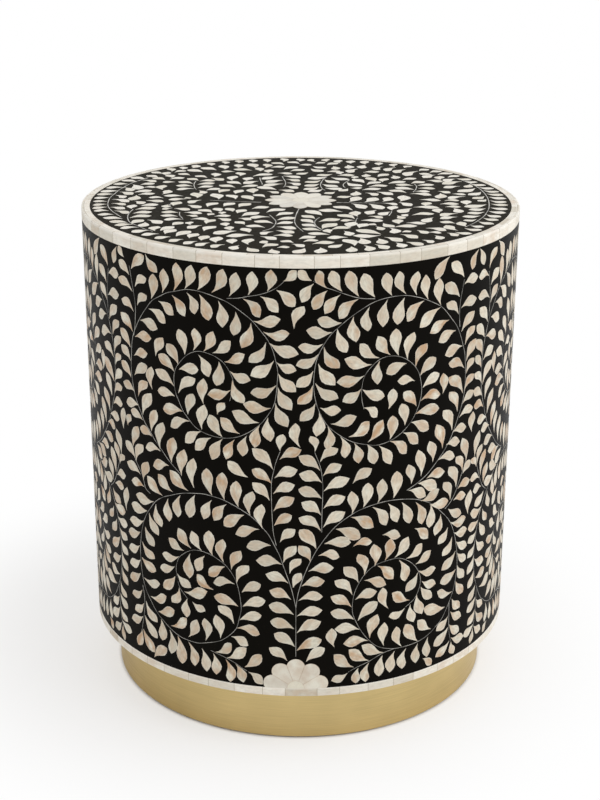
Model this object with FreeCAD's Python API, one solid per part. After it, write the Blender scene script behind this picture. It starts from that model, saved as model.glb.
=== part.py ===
"""Round drum stool with bone inlay: a wooden drum under a skin of bone and
black resin, standing on a set-back plinth with a brass finish.

Millimetres, +Z up. The origin is the centre of the footprint on the floor,
and the middle of the front panel faces -Y.
"""
import FreeCAD, Part
import math
import os

from FreeCAD import Vector

# Overall sizes
stool_height = 458.0
drum_radius = 200.0
plinth_recess = 20.0
plinth_height = 55.4

# Skin of bone and resin
skin_thickness = 2.5
resin_sink = 0.15
glue_line = 0.1
rim_ring_width = 7.5
edge_band_height = 9.6
lower_band_height = 7.7
eased_edge = 0.7
tile_seam = 0.3
tile_count = 52
seam_wobble_share = 0.09
seam_wobble_turn = 2.4

# Flowers, measured from their centre
top_flower_tip = 33.0
top_flower_valley = 26.0
top_flower_shoulder = 30.2
top_flower_petals = 12
shoulder_share = 0.55
side_flower_tip = 29.5
side_flower_valley = 24.5
side_flower_petals = 5
side_petal_angle = 38.5
flower_hub_radius = 7.5
petal_seam = 0.25

# Panels round the side: the front one at its seen width, the others equal
front_panel_width = 350.0
panel_count = 4

# Wooden drum
top_board_thickness = 18.0
bottom_board_thickness = 18.0
shell_thickness = 9.0
rebate_depth = 4.0
former_thickness = 18.0
former_width = 38.0
batten_width = 36.0
batten_thickness = 18.0
batten_count = 6
notch_clearance = 0.3
dowel_radius = 4.0
dowel_in_former = 12.0
dowel_in_batten = 20.0
dowel_clearance = 0.1

# Plinth
hoop_thickness = 1.0
hoop_seam = 0.4
plinth_wall = 12.0
block_width = 40.0
block_depth = 36.0
block_count = 6
pad_radius = 13.0
pad_thickness = 1.6

# Wood screws
screw_head_radius = 4.0
screw_head_height = 2.6
screw_shank_radius = 2.0
screw_point = 4.0
screw_clearance = 0.1
frame_screw_length = 30.0
plinth_screw_length = 32.0
frame_screw_count = 6
counterbore_radius = 5.5
counterbore_depth = 34.0

overrun = 1.0

# Heights and radii that follow from the sizes above
skin_underside = stool_height - skin_thickness
carcass_radius = drum_radius - skin_thickness
resin_radius = drum_radius - resin_sink
resin_top = stool_height - resin_sink
skin_inner_radius = carcass_radius + glue_line
edge_band_low = stool_height - edge_band_height
lower_band_high = plinth_height + lower_band_height
rim_ring_inner = drum_radius - rim_ring_width
top_board_low = skin_underside - top_board_thickness
bottom_board_high = plinth_height + bottom_board_thickness
shell_inner = carcass_radius - shell_thickness
former_radius = shell_inner - glue_line
former_inner = former_radius - former_width
former_middle_low = (bottom_board_high + top_board_low - former_thickness) / 2
batten_low = bottom_board_high + former_thickness
batten_high = top_board_low - former_thickness
batten_outer = math.sqrt(former_radius ** 2 - (batten_width / 2) ** 2)
batten_middle = batten_outer - batten_thickness / 2
screw_circle = former_radius - former_width / 2
plinth_radius = drum_radius - plinth_recess
core_radius = plinth_radius - hoop_thickness - glue_line
core_inner = core_radius - plinth_wall
block_middle = core_inner - block_depth / 2

UP = Vector(0, 0, 1)
CENTRE = Vector(0, 0, 0)
FRONT_ANGLE = -90.0
FULL_TURN = 360.0


def disc(radius, low, high):
    """Solid round plate between two heights."""
    return Part.makeCylinder(radius, high - low, Vector(0, 0, low))


def tube(outer, inner, low, high):
    """Upright tube between two heights."""
    return disc(outer, low, high).cut(disc(inner, low - overrun, high + overrun))


def upright(radius, x, y, low, high):
    """Round upright peg or hole at one place."""
    return Part.makeCylinder(radius, high - low, Vector(x, y, low))


def block(inner, outer, width, low, high):
    """Square-cornered block that lies across the +X axis."""
    corner = Vector(inner, -width / 2, low)
    return Part.makeBox(outer - inner, width, high - low, corner)


def turned(shape, angle):
    """Copy of a shape turned about the drum's axis."""
    copy = shape.copy()
    copy.rotate(CENTRE, UP, angle)
    return copy


def around(shape, count, start=0.0):
    """Equally spaced copies about the drum's axis."""
    return [turned(shape, start + FULL_TURN * step / count) for step in range(count)]


def save(node, solids):
    """Write one node, as a single solid or as a group of separate ones."""
    shape = solids[0] if len(solids) == 1 else Part.makeCompound(solids)
    shape.exportStep("parts/" + node + ".step")


def tile_angles(shift):
    """Start and sweep of each tile, of slightly uneven length as cut by hand."""
    step = FULL_TURN / tile_count
    seams = []
    for index in range(tile_count):
        wobble = seam_wobble_share * math.sin(seam_wobble_turn * (index + shift))
        seams.append(FRONT_ANGLE + step * (index + shift + wobble))
    seams.append(seams[0] + FULL_TURN)
    gap = math.degrees(tile_seam / drum_radius)
    return [(a + gap / 2, b - a - gap) for a, b in zip(seams, seams[1:])]


def tiles(profile, shift):
    """Ring of separate tiles, each the profile swept over its own angle."""
    face = Part.Face(profile)
    return [turned(face.revolve(CENTRE, UP, sweep), start) for start, sweep in tile_angles(shift)]


def plain_profile(inner, outer, low, high):
    """Rectangle in the plane of the drum's axis."""
    corners = [(inner, low), (outer, low), (outer, high), (inner, high), (inner, low)]
    return Part.makePolygon([Vector(r, 0, z) for r, z in corners])


def eased_profile(inner, outer, low, high):
    """The same rectangle with its top outer corner rounded over."""
    bend_r = outer - eased_edge
    bend_z = high - eased_edge
    middle = Vector(bend_r + eased_edge * math.cos(math.pi / 4), 0,
                    bend_z + eased_edge * math.sin(math.pi / 4))
    start = Vector(outer, 0, bend_z)
    end = Vector(bend_r, 0, high)
    rest = Part.makePolygon([end, Vector(inner, 0, high), Vector(inner, 0, low),
                             Vector(outer, 0, low), start])
    return Part.Wire([Part.Arc(start, middle, end).toShape()] + rest.Edges)


def polar(radius, angle):
    """Point in the flat plane of a flower."""
    return Vector(radius * math.cos(math.radians(angle)), radius * math.sin(math.radians(angle)), 0)


def petal_end(tip, valley, shoulder, middle, half):
    """Outer end of one petal: one round arc, or two that meet in a point where it has a shoulder."""
    first, peak, last = polar(valley, middle - half), polar(tip, middle), polar(valley, middle + half)
    if not shoulder:
        return [Part.Arc(first, peak, last).toShape()]
    before = polar(shoulder, middle - half * shoulder_share)
    after = polar(shoulder, middle + half * shoulder_share)
    return [Part.Arc(first, before, peak).toShape(), Part.Arc(peak, after, last).toShape()]


def flower_pocket(tip, valley, shoulder, angles, half, closed):
    """Outline of a whole flower as one face: petal ends, and two straight sides on a fan."""
    edges = [edge for middle in angles for edge in petal_end(tip, valley, shoulder, middle, half)]
    if not closed:
        first = polar(valley, angles[0] - half)
        last = polar(valley, angles[-1] + half)
        edges.append(Part.makeLine(last, CENTRE))
        edges.append(Part.makeLine(CENTRE, first))
    return Part.Face(Part.Wire(edges))


def petal_face(tip, valley, shoulder, middle, half):
    """One petal: a wedge with a round or pointed end, cut back at the hub and along its seams."""
    seam = math.degrees(petal_seam / 2 / valley)
    inner = flower_hub_radius + petal_seam
    near = math.degrees(petal_seam / 2 / inner)
    start = polar(inner, middle - half + near)
    end = polar(inner, middle + half - near)
    back = petal_seam / 2
    outer = petal_end(tip - back, valley - back, shoulder and shoulder - back, middle, half - seam)
    hub_side = Part.Arc(end, polar(inner, middle), start).toShape()
    first = polar(valley - petal_seam / 2, middle - half + seam)
    last = polar(valley - petal_seam / 2, middle + half - seam)
    sides = [Part.makeLine(start, first), Part.makeLine(last, end)]
    return Part.Face(Part.Wire([sides[0], *outer, sides[1], hub_side]))


def hub_face():
    """Round centre of a flower."""
    return Part.Face(Part.Wire(Part.makeCircle(flower_hub_radius)))


def to_top(face):
    """Stand a flat face on the top board and give it the skin's thickness."""
    solid = face.extrude(Vector(0, 0, skin_thickness))
    solid.translate(Vector(0, 0, skin_underside))
    return solid


def to_side(face, azimuth):
    """Prism through the skin, with the face's upward axis along the drum's height."""
    prism = face.extrude(Vector(0, 0, skin_thickness + overrun * 2))
    prism.rotate(CENTRE, Vector(1, 0, 0), 90)
    prism.translate(Vector(0, -(carcass_radius - overrun), lower_band_high))
    return turned(prism, azimuth - FRONT_ANGLE)


def panel_azimuths():
    """Middle of each side panel, the front one first."""
    front_sweep = math.degrees(front_panel_width / drum_radius)
    other_sweep = (FULL_TURN - front_sweep) / (panel_count - 1)
    first = FRONT_ANGLE + front_sweep / 2 + other_sweep / 2
    return [FRONT_ANGLE] + [first + other_sweep * step for step in range(panel_count - 1)]


def side_petal_angles():
    """Directions of the petals of a half flower, the middle one upright."""
    middle = (side_flower_petals - 1) / 2
    return [90 + side_petal_angle * (step - middle) for step in range(side_flower_petals)]


def top_petal_angles():
    """Directions of the petals of the whole flower on the top."""
    return [FULL_TURN * step / top_flower_petals - 90 for step in range(top_flower_petals)]


def screw(length):
    """Countersunk wood screw, head down at the origin and point up."""
    head = Part.makeCone(screw_head_radius, screw_shank_radius, screw_head_height)
    shank = upright(screw_shank_radius, 0, 0, screw_head_height, length - screw_point)
    point = Part.makeCone(screw_shank_radius, 0, screw_point, Vector(0, 0, length - screw_point))
    return head.fuse([shank, point]).removeSplitter()


def screw_hole(length):
    """Room for a screw, with its countersink open downwards."""
    wide = screw_head_radius + screw_clearance
    narrow = screw_shank_radius + screw_clearance
    head = Part.makeCone(wide, narrow, screw_head_height)
    shank = upright(narrow, 0, 0, 0, length + screw_clearance)
    mouth = upright(wide, 0, 0, -overrun, 0)
    return head.fuse([shank, mouth])


def moved(shape, x, z):
    """Copy of a shape on the +X side at one height."""
    copy = shape.copy()
    copy.translate(Vector(x, 0, z))
    return copy


def frame_screw_angles():
    """Screws sit midway between the battens."""
    return FULL_TURN / frame_screw_count / 2


def upper_screws(shape):
    """The shape at each place where the upper former is screwed to the top board."""
    return around(moved(shape, screw_circle, top_board_low - former_thickness),
                  frame_screw_count, frame_screw_angles())


def lower_screws(shape):
    """The shape at each place where the lower former is screwed down to the bottom board."""
    flipped = shape.copy()
    flipped.rotate(CENTRE, Vector(1, 0, 0), 180)
    return around(moved(flipped, screw_circle, batten_low), frame_screw_count, frame_screw_angles())


def plinth_screws(shape):
    """The shape at each block, driven up into the bottom board."""
    seat = pad_thickness + counterbore_depth
    return around(moved(shape, block_middle, seat), block_count, frame_screw_angles())


def dowels(radius, extra):
    """Pegs that join the battens to the upper and lower formers."""
    low_end = batten_low - dowel_in_former - extra
    low_top = batten_low + dowel_in_batten + extra
    high_end = batten_high - dowel_in_batten - extra
    high_top = batten_high + dowel_in_former + extra
    lower = upright(radius, batten_middle, 0, low_end, low_top)
    upper = upright(radius, batten_middle, 0, high_end, high_top)
    return around(lower, batten_count) + around(upper, batten_count)


def make_skin():
    """Bone tiles, flowers and the poured resin between them."""
    edge = eased_profile(skin_inner_radius, drum_radius, edge_band_low, stool_height)
    save("rim_edge_tiles", tiles(edge, 0.5))
    ring = plain_profile(rim_ring_inner, skin_inner_radius - glue_line, skin_underside, stool_height)
    save("rim_top_tiles", tiles(ring, 0.2))
    lower = plain_profile(skin_inner_radius, drum_radius, plinth_height, lower_band_high)
    save("lower_band_tiles", tiles(lower, 0.7))
    make_top_skin()
    make_side_skin()


def make_top_skin():
    """Resin disc with its pocket, and the flower that fills it."""
    half = FULL_TURN / top_flower_petals / 2
    sizes = (top_flower_tip, top_flower_valley, top_flower_shoulder)
    pocket = flower_pocket(*sizes, top_petal_angles(), half, True)
    resin = disc(rim_ring_inner - glue_line, skin_underside, resin_top)
    save("top_resin", [resin.cut(to_top(pocket))])
    petals = [petal_face(*sizes, middle, half) for middle in top_petal_angles()]
    save("top_flower_petals", [to_top(face) for face in petals])
    save("top_flower_hub", [to_top(hub_face())])


def make_side_skin():
    """Resin tube with its pockets, and the half flowers that fill them."""
    half = side_petal_angle / 2
    angles = side_petal_angles()
    sizes = (side_flower_tip, side_flower_valley, None)
    pocket = flower_pocket(*sizes, angles, half, False)
    faces = [petal_face(*sizes, middle, half) for middle in angles]
    resin = tube(resin_radius, skin_inner_radius, lower_band_high, edge_band_low)
    bone = tube(drum_radius, skin_inner_radius, lower_band_high, edge_band_low)
    petals = []
    hubs = []
    for azimuth in panel_azimuths():
        resin = resin.cut(to_side(pocket, azimuth))
        petals += [bone.common(to_side(face, azimuth)).Solids[0] for face in faces]
        hubs.append(bone.common(to_side(hub_face(), azimuth)).Solids[0])
    save("side_resin", [resin])
    save("side_flower_petals", petals)
    save("side_flower_hubs", hubs)


def make_drum():
    """Wooden boards, bent shell, formers, battens and their joints."""
    rebate = carcass_radius + overrun
    top_board = disc(carcass_radius, top_board_low, skin_underside)
    top_board = top_board.cut(tube(rebate, shell_inner, top_board_low - overrun, top_board_low + rebate_depth))
    top_board = top_board.cut(upper_screws(screw_hole(frame_screw_length)))
    save("top_board", [top_board])

    bottom_board = disc(carcass_radius, plinth_height, bottom_board_high)
    shell_low = bottom_board_high - rebate_depth
    bottom_board = bottom_board.cut(tube(rebate, shell_inner, shell_low, bottom_board_high + overrun))
    bottom_board = bottom_board.cut(lower_screws(screw_hole(frame_screw_length)))
    bottom_board = bottom_board.cut(plinth_screws(screw_hole(plinth_screw_length)))
    save("bottom_board", [bottom_board])

    save("drum_shell", [tube(carcass_radius, former_radius + glue_line, shell_low,
                             top_board_low + rebate_depth)])

    dowel_holes = dowels(dowel_radius + dowel_clearance, dowel_clearance)
    upper = tube(former_radius, former_inner, batten_high, top_board_low)
    upper = upper.cut(dowel_holes).cut(upper_screws(screw_hole(frame_screw_length)))
    save("upper_former", [upper])
    lower = tube(former_radius, former_inner, bottom_board_high, batten_low)
    lower = lower.cut(dowel_holes).cut(lower_screws(screw_hole(frame_screw_length)))
    save("lower_former", [lower])

    notch = block(batten_outer - batten_thickness - notch_clearance, former_radius + overrun,
                  batten_width + notch_clearance * 2, former_middle_low - overrun,
                  former_middle_low + former_thickness + overrun)
    middle = tube(former_radius, former_inner, former_middle_low, former_middle_low + former_thickness)
    save("middle_former", [middle.cut(around(notch, batten_count))])

    batten = block(batten_outer - batten_thickness, batten_outer, batten_width, batten_low, batten_high)
    save("battens", [part.cut(dowel_holes) for part in around(batten, batten_count)])
    save("batten_dowels", dowels(dowel_radius, 0))
    save("top_board_screws", upper_screws(screw(frame_screw_length)))
    save("bottom_board_screws", lower_screws(screw(frame_screw_length)))


def make_plinth():
    """Bent core, glue blocks, brass-finish hoop, screws and floor pads."""
    core = tube(core_radius, core_inner, pad_thickness, plinth_height)
    save("plinth_core", [core])
    hoop = tube(plinth_radius, plinth_radius - hoop_thickness, pad_thickness, plinth_height)
    seam = block(plinth_radius - hoop_thickness - overrun, plinth_radius + overrun, hoop_seam,
                 pad_thickness - overrun, plinth_height + overrun)
    save("plinth_hoop", [hoop.cut(turned(seam, -FRONT_ANGLE))])

    rough = block(core_inner - block_depth, core_radius, block_width, pad_thickness, plinth_height)
    shaped = rough.common(disc(core_inner - glue_line, pad_thickness, plinth_height))
    bore = upright(counterbore_radius, block_middle, 0, pad_thickness - overrun,
                   pad_thickness + counterbore_depth)
    hole = moved(screw_hole(plinth_screw_length), block_middle, pad_thickness + counterbore_depth)
    save("plinth_blocks", around(shaped.cut([bore, hole]), block_count, frame_screw_angles()))
    save("plinth_screws", plinth_screws(screw(plinth_screw_length)))
    pad = upright(pad_radius, block_middle, 0, 0, pad_thickness)
    save("floor_pads", around(pad, block_count, frame_screw_angles()))


def main():
    """Write every node of the stool."""
    os.makedirs("parts", exist_ok=True)
    make_skin()
    make_drum()
    make_plinth()


main()
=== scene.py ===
"""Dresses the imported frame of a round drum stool.

Bone leaves, lines, flowers and edge tiles lie in black resin, over a satin brass foot.
"""
import math

import bmesh
import bpy
import numpy as np
from bpy.props import FloatProperty, FloatVectorProperty, IntProperty, PointerProperty
from mathutils import Matrix, Vector


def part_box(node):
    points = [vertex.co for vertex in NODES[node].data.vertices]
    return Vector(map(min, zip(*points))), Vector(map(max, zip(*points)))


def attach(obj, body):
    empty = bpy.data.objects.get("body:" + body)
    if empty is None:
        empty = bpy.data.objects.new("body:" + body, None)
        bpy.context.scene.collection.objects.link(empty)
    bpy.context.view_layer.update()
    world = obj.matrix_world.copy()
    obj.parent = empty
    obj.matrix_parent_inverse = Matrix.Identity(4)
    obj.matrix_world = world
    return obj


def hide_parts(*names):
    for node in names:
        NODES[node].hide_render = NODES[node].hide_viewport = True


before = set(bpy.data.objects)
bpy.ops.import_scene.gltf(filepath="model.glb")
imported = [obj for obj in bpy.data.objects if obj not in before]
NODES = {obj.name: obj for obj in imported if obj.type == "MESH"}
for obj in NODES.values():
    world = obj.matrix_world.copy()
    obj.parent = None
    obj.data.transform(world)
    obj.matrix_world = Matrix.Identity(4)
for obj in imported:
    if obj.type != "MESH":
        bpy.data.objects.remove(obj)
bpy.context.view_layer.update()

bl_info = {
    "name": "Bone inlay stool",
    "version": (1, 0, 0),
    "blender": (4, 5, 0),
    "location": "3D View > Sidebar > Inlay stool",
    "description": "Bone inlay, edge tiles and finishes for a round stool frame",
    "category": "Add Mesh",
}

MM = 0.001
DRUM = 200.0  # radius in millimetres that the tiles' sections are measured from
USUAL_TILE = 24 * MM
TILE_CUTS = 6  # parts that a tile is cut into along its length, to follow the bend
PETAL_RIM = 1 * MM
SHOULDER_SHARE = 0.55  # of the way from a petal's middle to its side
ROUND_CUTS, SHOULDER_CUTS = 10, 5  # parts of each arc of a petal's end, without and with shoulders
HIGHLIT_FROM = np.array((0.8, 0.5))  # share of a tile's height and of its depth above which its corner gets the painted highlight of the edge
PATH_STEP = 1.0  # between the points of a vine's smooth path, in millimetres
LINE_STEP = 2.2 * MM
SIDE_LINE_DULLED = 0.7  # the sides' lines are duller than the top's
SAWN_EDGE = math.radians(30)
WAXED_BONE = {"IOR": 1.54, "Specular IOR Level": 0.4}
TILE_SEED, TOP_PETAL_SEED, SIDE_PETAL_SEED = 20, 31, 32


def linear(code):
    """An sRGB hex colour as linear red, green and blue."""
    parts = [int(code[k:k + 2], 16) / 255 for k in (1, 3, 5)]
    return tuple(p / 12.92 if p <= 0.04045 else ((p + 0.055) / 1.055) ** 2.4 for p in parts)


# ---- sizes and colours that a user would change

def length(name, text, value):
    """A size in metres, written here in millimetres."""
    return FloatProperty(name=name, description=text, default=value * MM, min=0, unit="LENGTH", precision=5)


def colour(name, text, code):
    """A colour, written here as an sRGB hex value."""
    return FloatVectorProperty(name=name, description=text, default=linear(code), size=3, min=0, max=1,
                               subtype="COLOR")


class StoolInlay(bpy.types.PropertyGroup):
    """Sizes of the bone leaves and of the thin lines between them."""
    leaf_length: length("Side leaf length", "Stalk to tip of a usual leaf on the side", 21.0)
    leaf_width: length("Side leaf width", "Across a usual leaf on the side", 10.3)
    top_leaf_length: length("Top leaf length", "Stalk to tip of a usual leaf on the top", 19.0)
    top_leaf_width: length("Top leaf width", "Across a usual leaf on the top", 10.7)
    line_width: length("Side line width", "Width of a vine's inlaid line at its root on the side", 0.45)
    top_line_width: length("Top line width", "Width of a vine's inlaid line at its root on the top", 0.9)
    line_taper: FloatProperty(name="Line taper", description="Width of a line at its tip, as a share of its root",
                              default=0.7, min=0.1, max=1)
    chip_depth: length("Chip depth", "Depth of a bone chip below its face", 0.6)
    chip_sink: length("Chip sink", "How far a leaf's face lies inside the CAD box", 0.03)
    line_sink: length("Line sink", "How far a line's face lies inside the CAD box", 0.07)
    seed: IntProperty(name="Seed", description="Seed of the small unevenness of hand-cut leaves", default=7)


class StoolPanels(bpy.types.PropertyGroup):
    """Division of the drum into inlaid panels, as in the frame."""
    radius: length("Drum radius", "Outside radius over the tiles", 200.0)
    front_width: length("Front panel width", "Width of the front panel, round the drum", 350.0)
    other_count: IntProperty(name="Other panels", description="Panels of equal width after the front one",
                             default=3, min=1)
    rim_inside: length("Rim inside radius", "Inside radius of the top's tile ring", 192.5)


class StoolFlowers(bpy.types.PropertyGroup):
    """Sizes of the flowers, measured from a flower's centre: as in the frame, but for a finer seam."""
    top_petals: IntProperty(name="Top petals", description="Petals of the top flower", default=12, min=3)
    top_tip: length("Top petal tip", "Centre to petal tip on the top", 33.0)
    top_shoulder: length("Top petal shoulder", "Centre to the bulge beside a petal's point", 30.2)
    top_valley: length("Top valley", "Centre to the valley between two petals on the top", 26.0)
    side_petals: IntProperty(name="Side petals", description="Petals of a side half flower", default=5, min=3)
    side_step: FloatProperty(name="Side petal step", description="Angle from one side petal to the next",
                             default=math.radians(38.5), unit="ROTATION")
    side_tip: length("Side petal tip", "Centre to petal tip on the side", 29.5)
    side_valley: length("Side valley", "Centre to the valley between two petals on the side", 24.5)
    hub: length("Hub radius", "Radius of a flower's round centre", 7.5)
    seam: length("Petal seam", "Gap between two petals", 0.12)


class StoolTiles(bpy.types.PropertyGroup):
    """Bone tiles along the drum's edges: as in the frame, but with eased edges and filled seams."""
    count: IntProperty(name="Tiles in a ring", description="Tiles round each edge", default=52, min=8)
    seam: length("Tile seam", "Gap between two tiles", 0.3)
    uneven_share: FloatProperty(name="Uneven share", description="How uneven the lengths are, as a share of one",
                                default=0.09, min=0, max=0.4)
    uneven_turn: FloatProperty(name="Uneven turn", description="Step of the unevenness from tile to tile",
                               default=2.4)
    eased: length("Eased edge", "Chamfer along a tile's sawn edges", 0.12)
    rounded: length("Rounded edge", "Rounding of the drum's top edge", 1.0)
    fill_sink: length("Filler sink", "How far the filler lies below the tiles", 0.05)


class StoolColours(bpy.types.PropertyGroup):
    """Colours of the finishes."""
    bone_pale: colour("Bone, pale", "Palest bone, of the leaves on the top", "#EFEADE")
    bone_cream: colour("Bone, cream", "Cream bone of the leaves on the side", "#DFD9C7")
    bone_tan: colour("Bone, tan", "Stains of unbleached bone", "#BE9871")
    bone_white: colour("Bone, bleached", "Bleached bone of tiles and flowers", "#E5E0D1")
    bone_grey: colour("Bone, grey", "Greyer petals", "#C6C2B8")
    bone_dull: colour("Bone, dull", "Duller leaves on the side and duller tiles", "#C8C2B1")
    filler: colour("Filler", "Bone dust filler in the seams", "#958871")
    line: colour("Inlaid line", "Thin lines of the vines", "#DAD7CE")
    resin: colour("Black resin", "Poured black resin", "#0B0906")
    # The same resin as the side, painted lighter and browner to stand in for the sheen of light on the top.
    top_resin_with_sheen: colour("Black resin, painted top sheen", "Black resin of the top, lighter and browner to paint the sheen it shows", "#1A160B")
    brass: colour("Brass", "Brushed brass sheet of the foot", "#D5BE86")
    board: colour("Board", "Face of the boards", "#B99C74")
    felt: colour("Felt", "Felt of the floor pads", "#4A4640")
    backdrop: colour("Backdrop", "Paper under and behind the stool", "#F8F7F5")


class StoolStage(bpy.types.PropertyGroup):
    """Camera and light."""
    camera_distance: length("Camera distance", "From the drum's axis, along the floor", 1434.6)
    camera_height: length("Camera height", "Above the floor", 791.4)
    camera_turn: FloatProperty(name="Camera turn", description="Round the drum, to the right",
                               default=math.radians(0.86), unit="ROTATION")
    camera_pitch: FloatProperty(name="Camera pitch", description="Down from level",
                                default=math.radians(20.25), unit="ROTATION")
    camera_roll: FloatProperty(name="Camera roll", description="Tilt of the picture",
                               default=math.radians(0.18), unit="ROTATION")
    world_level: FloatProperty(name="Room light", description="Even light from all round, where 1 is white",
                               default=0.85, min=0)
    world_lean: FloatProperty(name="Room lean", description="How much lighter the room is on the right",
                              default=0.12, min=0, max=1)
    key_power: FloatProperty(name="Key lamp", description="Large soft lamp above and in front", default=10.0,
                             min=0, unit="POWER")
    side_power: FloatProperty(name="Side lamp", description="Soft lamp on the right", default=6.0,
                              min=0, unit="POWER")


# ---- nodes, meshes and materials in general

def feed(tree, sockets, inputs):
    """Links or fills these inputs of a node."""
    for key, value in inputs.items():
        if isinstance(value, bpy.types.NodeSocket):
            tree.links.new(value, sockets[key])
        else:
            sockets[key].default_value = value


def add(tree, kind, inputs=None, **options):
    """Adds a node with its options, links or fills its inputs, and returns its outputs."""
    made = tree.nodes.new(kind)
    for name, value in options.items():
        setattr(made, name, value)
    feed(tree, made.inputs, inputs or {})
    return made.outputs


def maths(tree, kind, *values):
    """One step of arithmetic on one or two values, by Blender's name for it."""
    return add(tree, "ShaderNodeMath", dict(enumerate(values)), operation=kind)[0]


def new_tree(name, sockets):
    """A Geometry Nodes tree with a mesh going in and out and these other inputs. Returns it and its inputs."""
    tree = bpy.data.node_groups.new(name, "GeometryNodeTree")
    tree.interface.new_socket("Geometry", in_out="INPUT", socket_type="NodeSocketGeometry")
    for label, kind in sockets:
        tree.interface.new_socket(label, in_out="INPUT", socket_type="NodeSocket" + kind)
    tree.interface.new_socket("Geometry", in_out="OUTPUT", socket_type="NodeSocketGeometry")
    return tree, add(tree, "NodeGroupInput")


def piece(name, source, tree, inputs, chips=()):
    """Runs a tree over a mesh and keeps the result as a plain mesh that rides on the frame."""
    seed = bpy.data.objects.new(name + "_source", source)
    bpy.context.scene.collection.objects.link(seed)
    modifier = seed.modifiers.new("shape", "NODES")
    modifier.node_group = tree
    if chips:
        inputs = dict(inputs, Chips=bpy.data.collections.new(name + "_chips"))
        for chip in chips:
            inputs["Chips"].objects.link(chip)
    for item in tree.interface.items_tree:
        if item.in_out == "INPUT" and item.name in inputs:
            modifier[item.identifier] = inputs[item.name]
    graph = bpy.context.evaluated_depsgraph_get()
    mesh = bpy.data.meshes.new_from_object(seed.evaluated_get(graph), preserve_all_data_layers=True,
                                           depsgraph=graph)
    seed.modifiers.remove(modifier)
    bpy.data.objects.remove(seed)
    if chips:
        bpy.data.collections.remove(inputs["Chips"])
    mesh.name = name
    return settle(name, mesh)


def settle(name, mesh):
    """Puts a finished mesh in the scene as a piece of the stool."""
    if not mesh.polygons:
        raise RuntimeError(name + " came out empty")
    made = bpy.data.objects.new(name, mesh)
    bpy.context.scene.collection.objects.link(made)
    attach(made, "root")
    return made


def points_mesh(name, places, **columns):
    """A mesh of loose points with one attribute for each column of numbers."""
    mesh = bpy.data.meshes.new(name)
    mesh.from_pydata(places, [], [])
    for label, values in columns.items():
        values = np.asarray(values)
        whole = values.dtype.kind == "i"
        kind = "FLOAT_VECTOR" if values.ndim > 1 else "INT" if whole else "FLOAT"
        layer = mesh.attributes.new(label, kind, "POINT")
        layer.data.foreach_set("vector" if values.ndim > 1 else "value",
                               values.astype(np.int32 if whole else np.float32).ravel())
    return mesh


def coat(names, finish):
    """Gives nodes of the frame a finish."""
    for name in names:
        mesh = NODES[name].data
        mesh.materials.clear()
        mesh.materials.append(finish)


def new_material(name):
    """A material and its node tree."""
    made = bpy.data.materials.new(name)
    made.use_nodes = True
    return made, made.node_tree


def dressed(made, inputs):
    """The material, once these inputs of its shader are linked or filled."""
    feed(made.node_tree, made.node_tree.nodes["Principled BSDF"].inputs, inputs)
    return made


def own_place(tree):
    """Place in the piece's own coordinates."""
    return add(tree, "ShaderNodeTexCoord")["Object"]


def tagged(tree, name, output="Fac"):
    """An attribute that the piece's mesh carries."""
    return add(tree, "ShaderNodeAttribute", attribute_name=name)[output]


def mixed(tree, share, first, second):
    """Colour between two others."""
    return add(tree, "ShaderNodeMix", {0: share, 6: first, 7: second}, data_type="RGBA")[2]


def rgba(value, share=1.0):
    """A colour property as four numbers, darker or lighter by this share."""
    return (*(min(1.0, c * share) for c in value), 1.0)


def noise(tree, place, spacing, detail=3.0, stretch=(1, 1, 1), rough=0.5):
    """Noise from 0 to 1 whose blots are about spacing metres apart, drawn out by stretch."""
    turned = add(tree, "ShaderNodeMapping", {"Vector": place, "Scale": [1 / (spacing * s) for s in stretch]})[0]
    return add(tree, "ShaderNodeTexNoise", {"Vector": turned, "Scale": 1.0, "Detail": detail, "Roughness": rough})[0]


def ranged(tree, value, low, high, first=0.0, last=1.0):
    """A value between low and high, carried over to first and last."""
    return add(tree, "ShaderNodeMapRange", {"Value": value, "From Min": low, "From Max": high,
                                            "To Min": first, "To Max": last})[0]


def bumped(tree, height, depth):
    """A normal for small unevenness that is depth metres deep."""
    return add(tree, "ShaderNodeBump", {"Height": height, "Distance": depth, "Strength": 1.0})[0]


# ---- materials

def chance(tree, tone, turn):
    """Another random number from 0 to 1 for each chip, drawn from its tone."""
    return maths(tree, "FRACT", maths(tree, "MULTIPLY", tone, turn))


def inlaid_bone(name, pale, stain, grey, least, most, pores):
    """Cattle bone, sawn into chips, glued in and sanded flush with the resin, then waxed.

    It gives cream chips that differ from one to the next: some greyer, some with tan stains where the bone
    wasn't bleached through, all with fine pores drawn out along the chip, a paler rim (partly paler bone at the
    cut edge, partly a painted highlight of the edge) and a soft satin gloss.
    """
    made, tree = new_material(name)
    grain, tone = tagged(tree, "grain", "Vector"), tagged(tree, "tone")
    patch = noise(tree, grain, 7 * MM, 3, (1.6, 1, 1))
    pore = noise(tree, grain, 1.7 * MM, 4, (2.8, 1, 1), 0.65)
    most_here = ranged(tree, maths(tree, "POWER", tone, 2.2), 0, 1, least, most)
    stained = maths(tree, "MULTIPLY", ranged(tree, patch, 0.34, 0.62), most_here)
    greyer = ranged(tree, chance(tree, tone, 7.31), 0.3, 1.0, 0.0, 0.85)
    body = mixed(tree, stained, mixed(tree, greyer, rgba(pale), rgba(grey)), rgba(stain))
    pored = mixed(tree, ranged(tree, pore, 0.42, 0.72, 0.0, pores), body, rgba(grey, 0.5))
    # Paler rim along each chip's edge: partly paler bone at the cut, partly a painted highlight of the edge.
    rim = ranged(tree, tagged(tree, "edge"), 0.8, 1.0, 0.0, 0.45)
    return dressed(made, {"Base Color": mixed(tree, rim, pored, rgba([0.35 + 0.65 * c for c in pale])),
                          "Roughness": ranged(tree, patch, 0.3, 0.7, 0.34, 0.46),
                          "Normal": bumped(tree, pore, 0.012 * MM), **WAXED_BONE})


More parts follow.
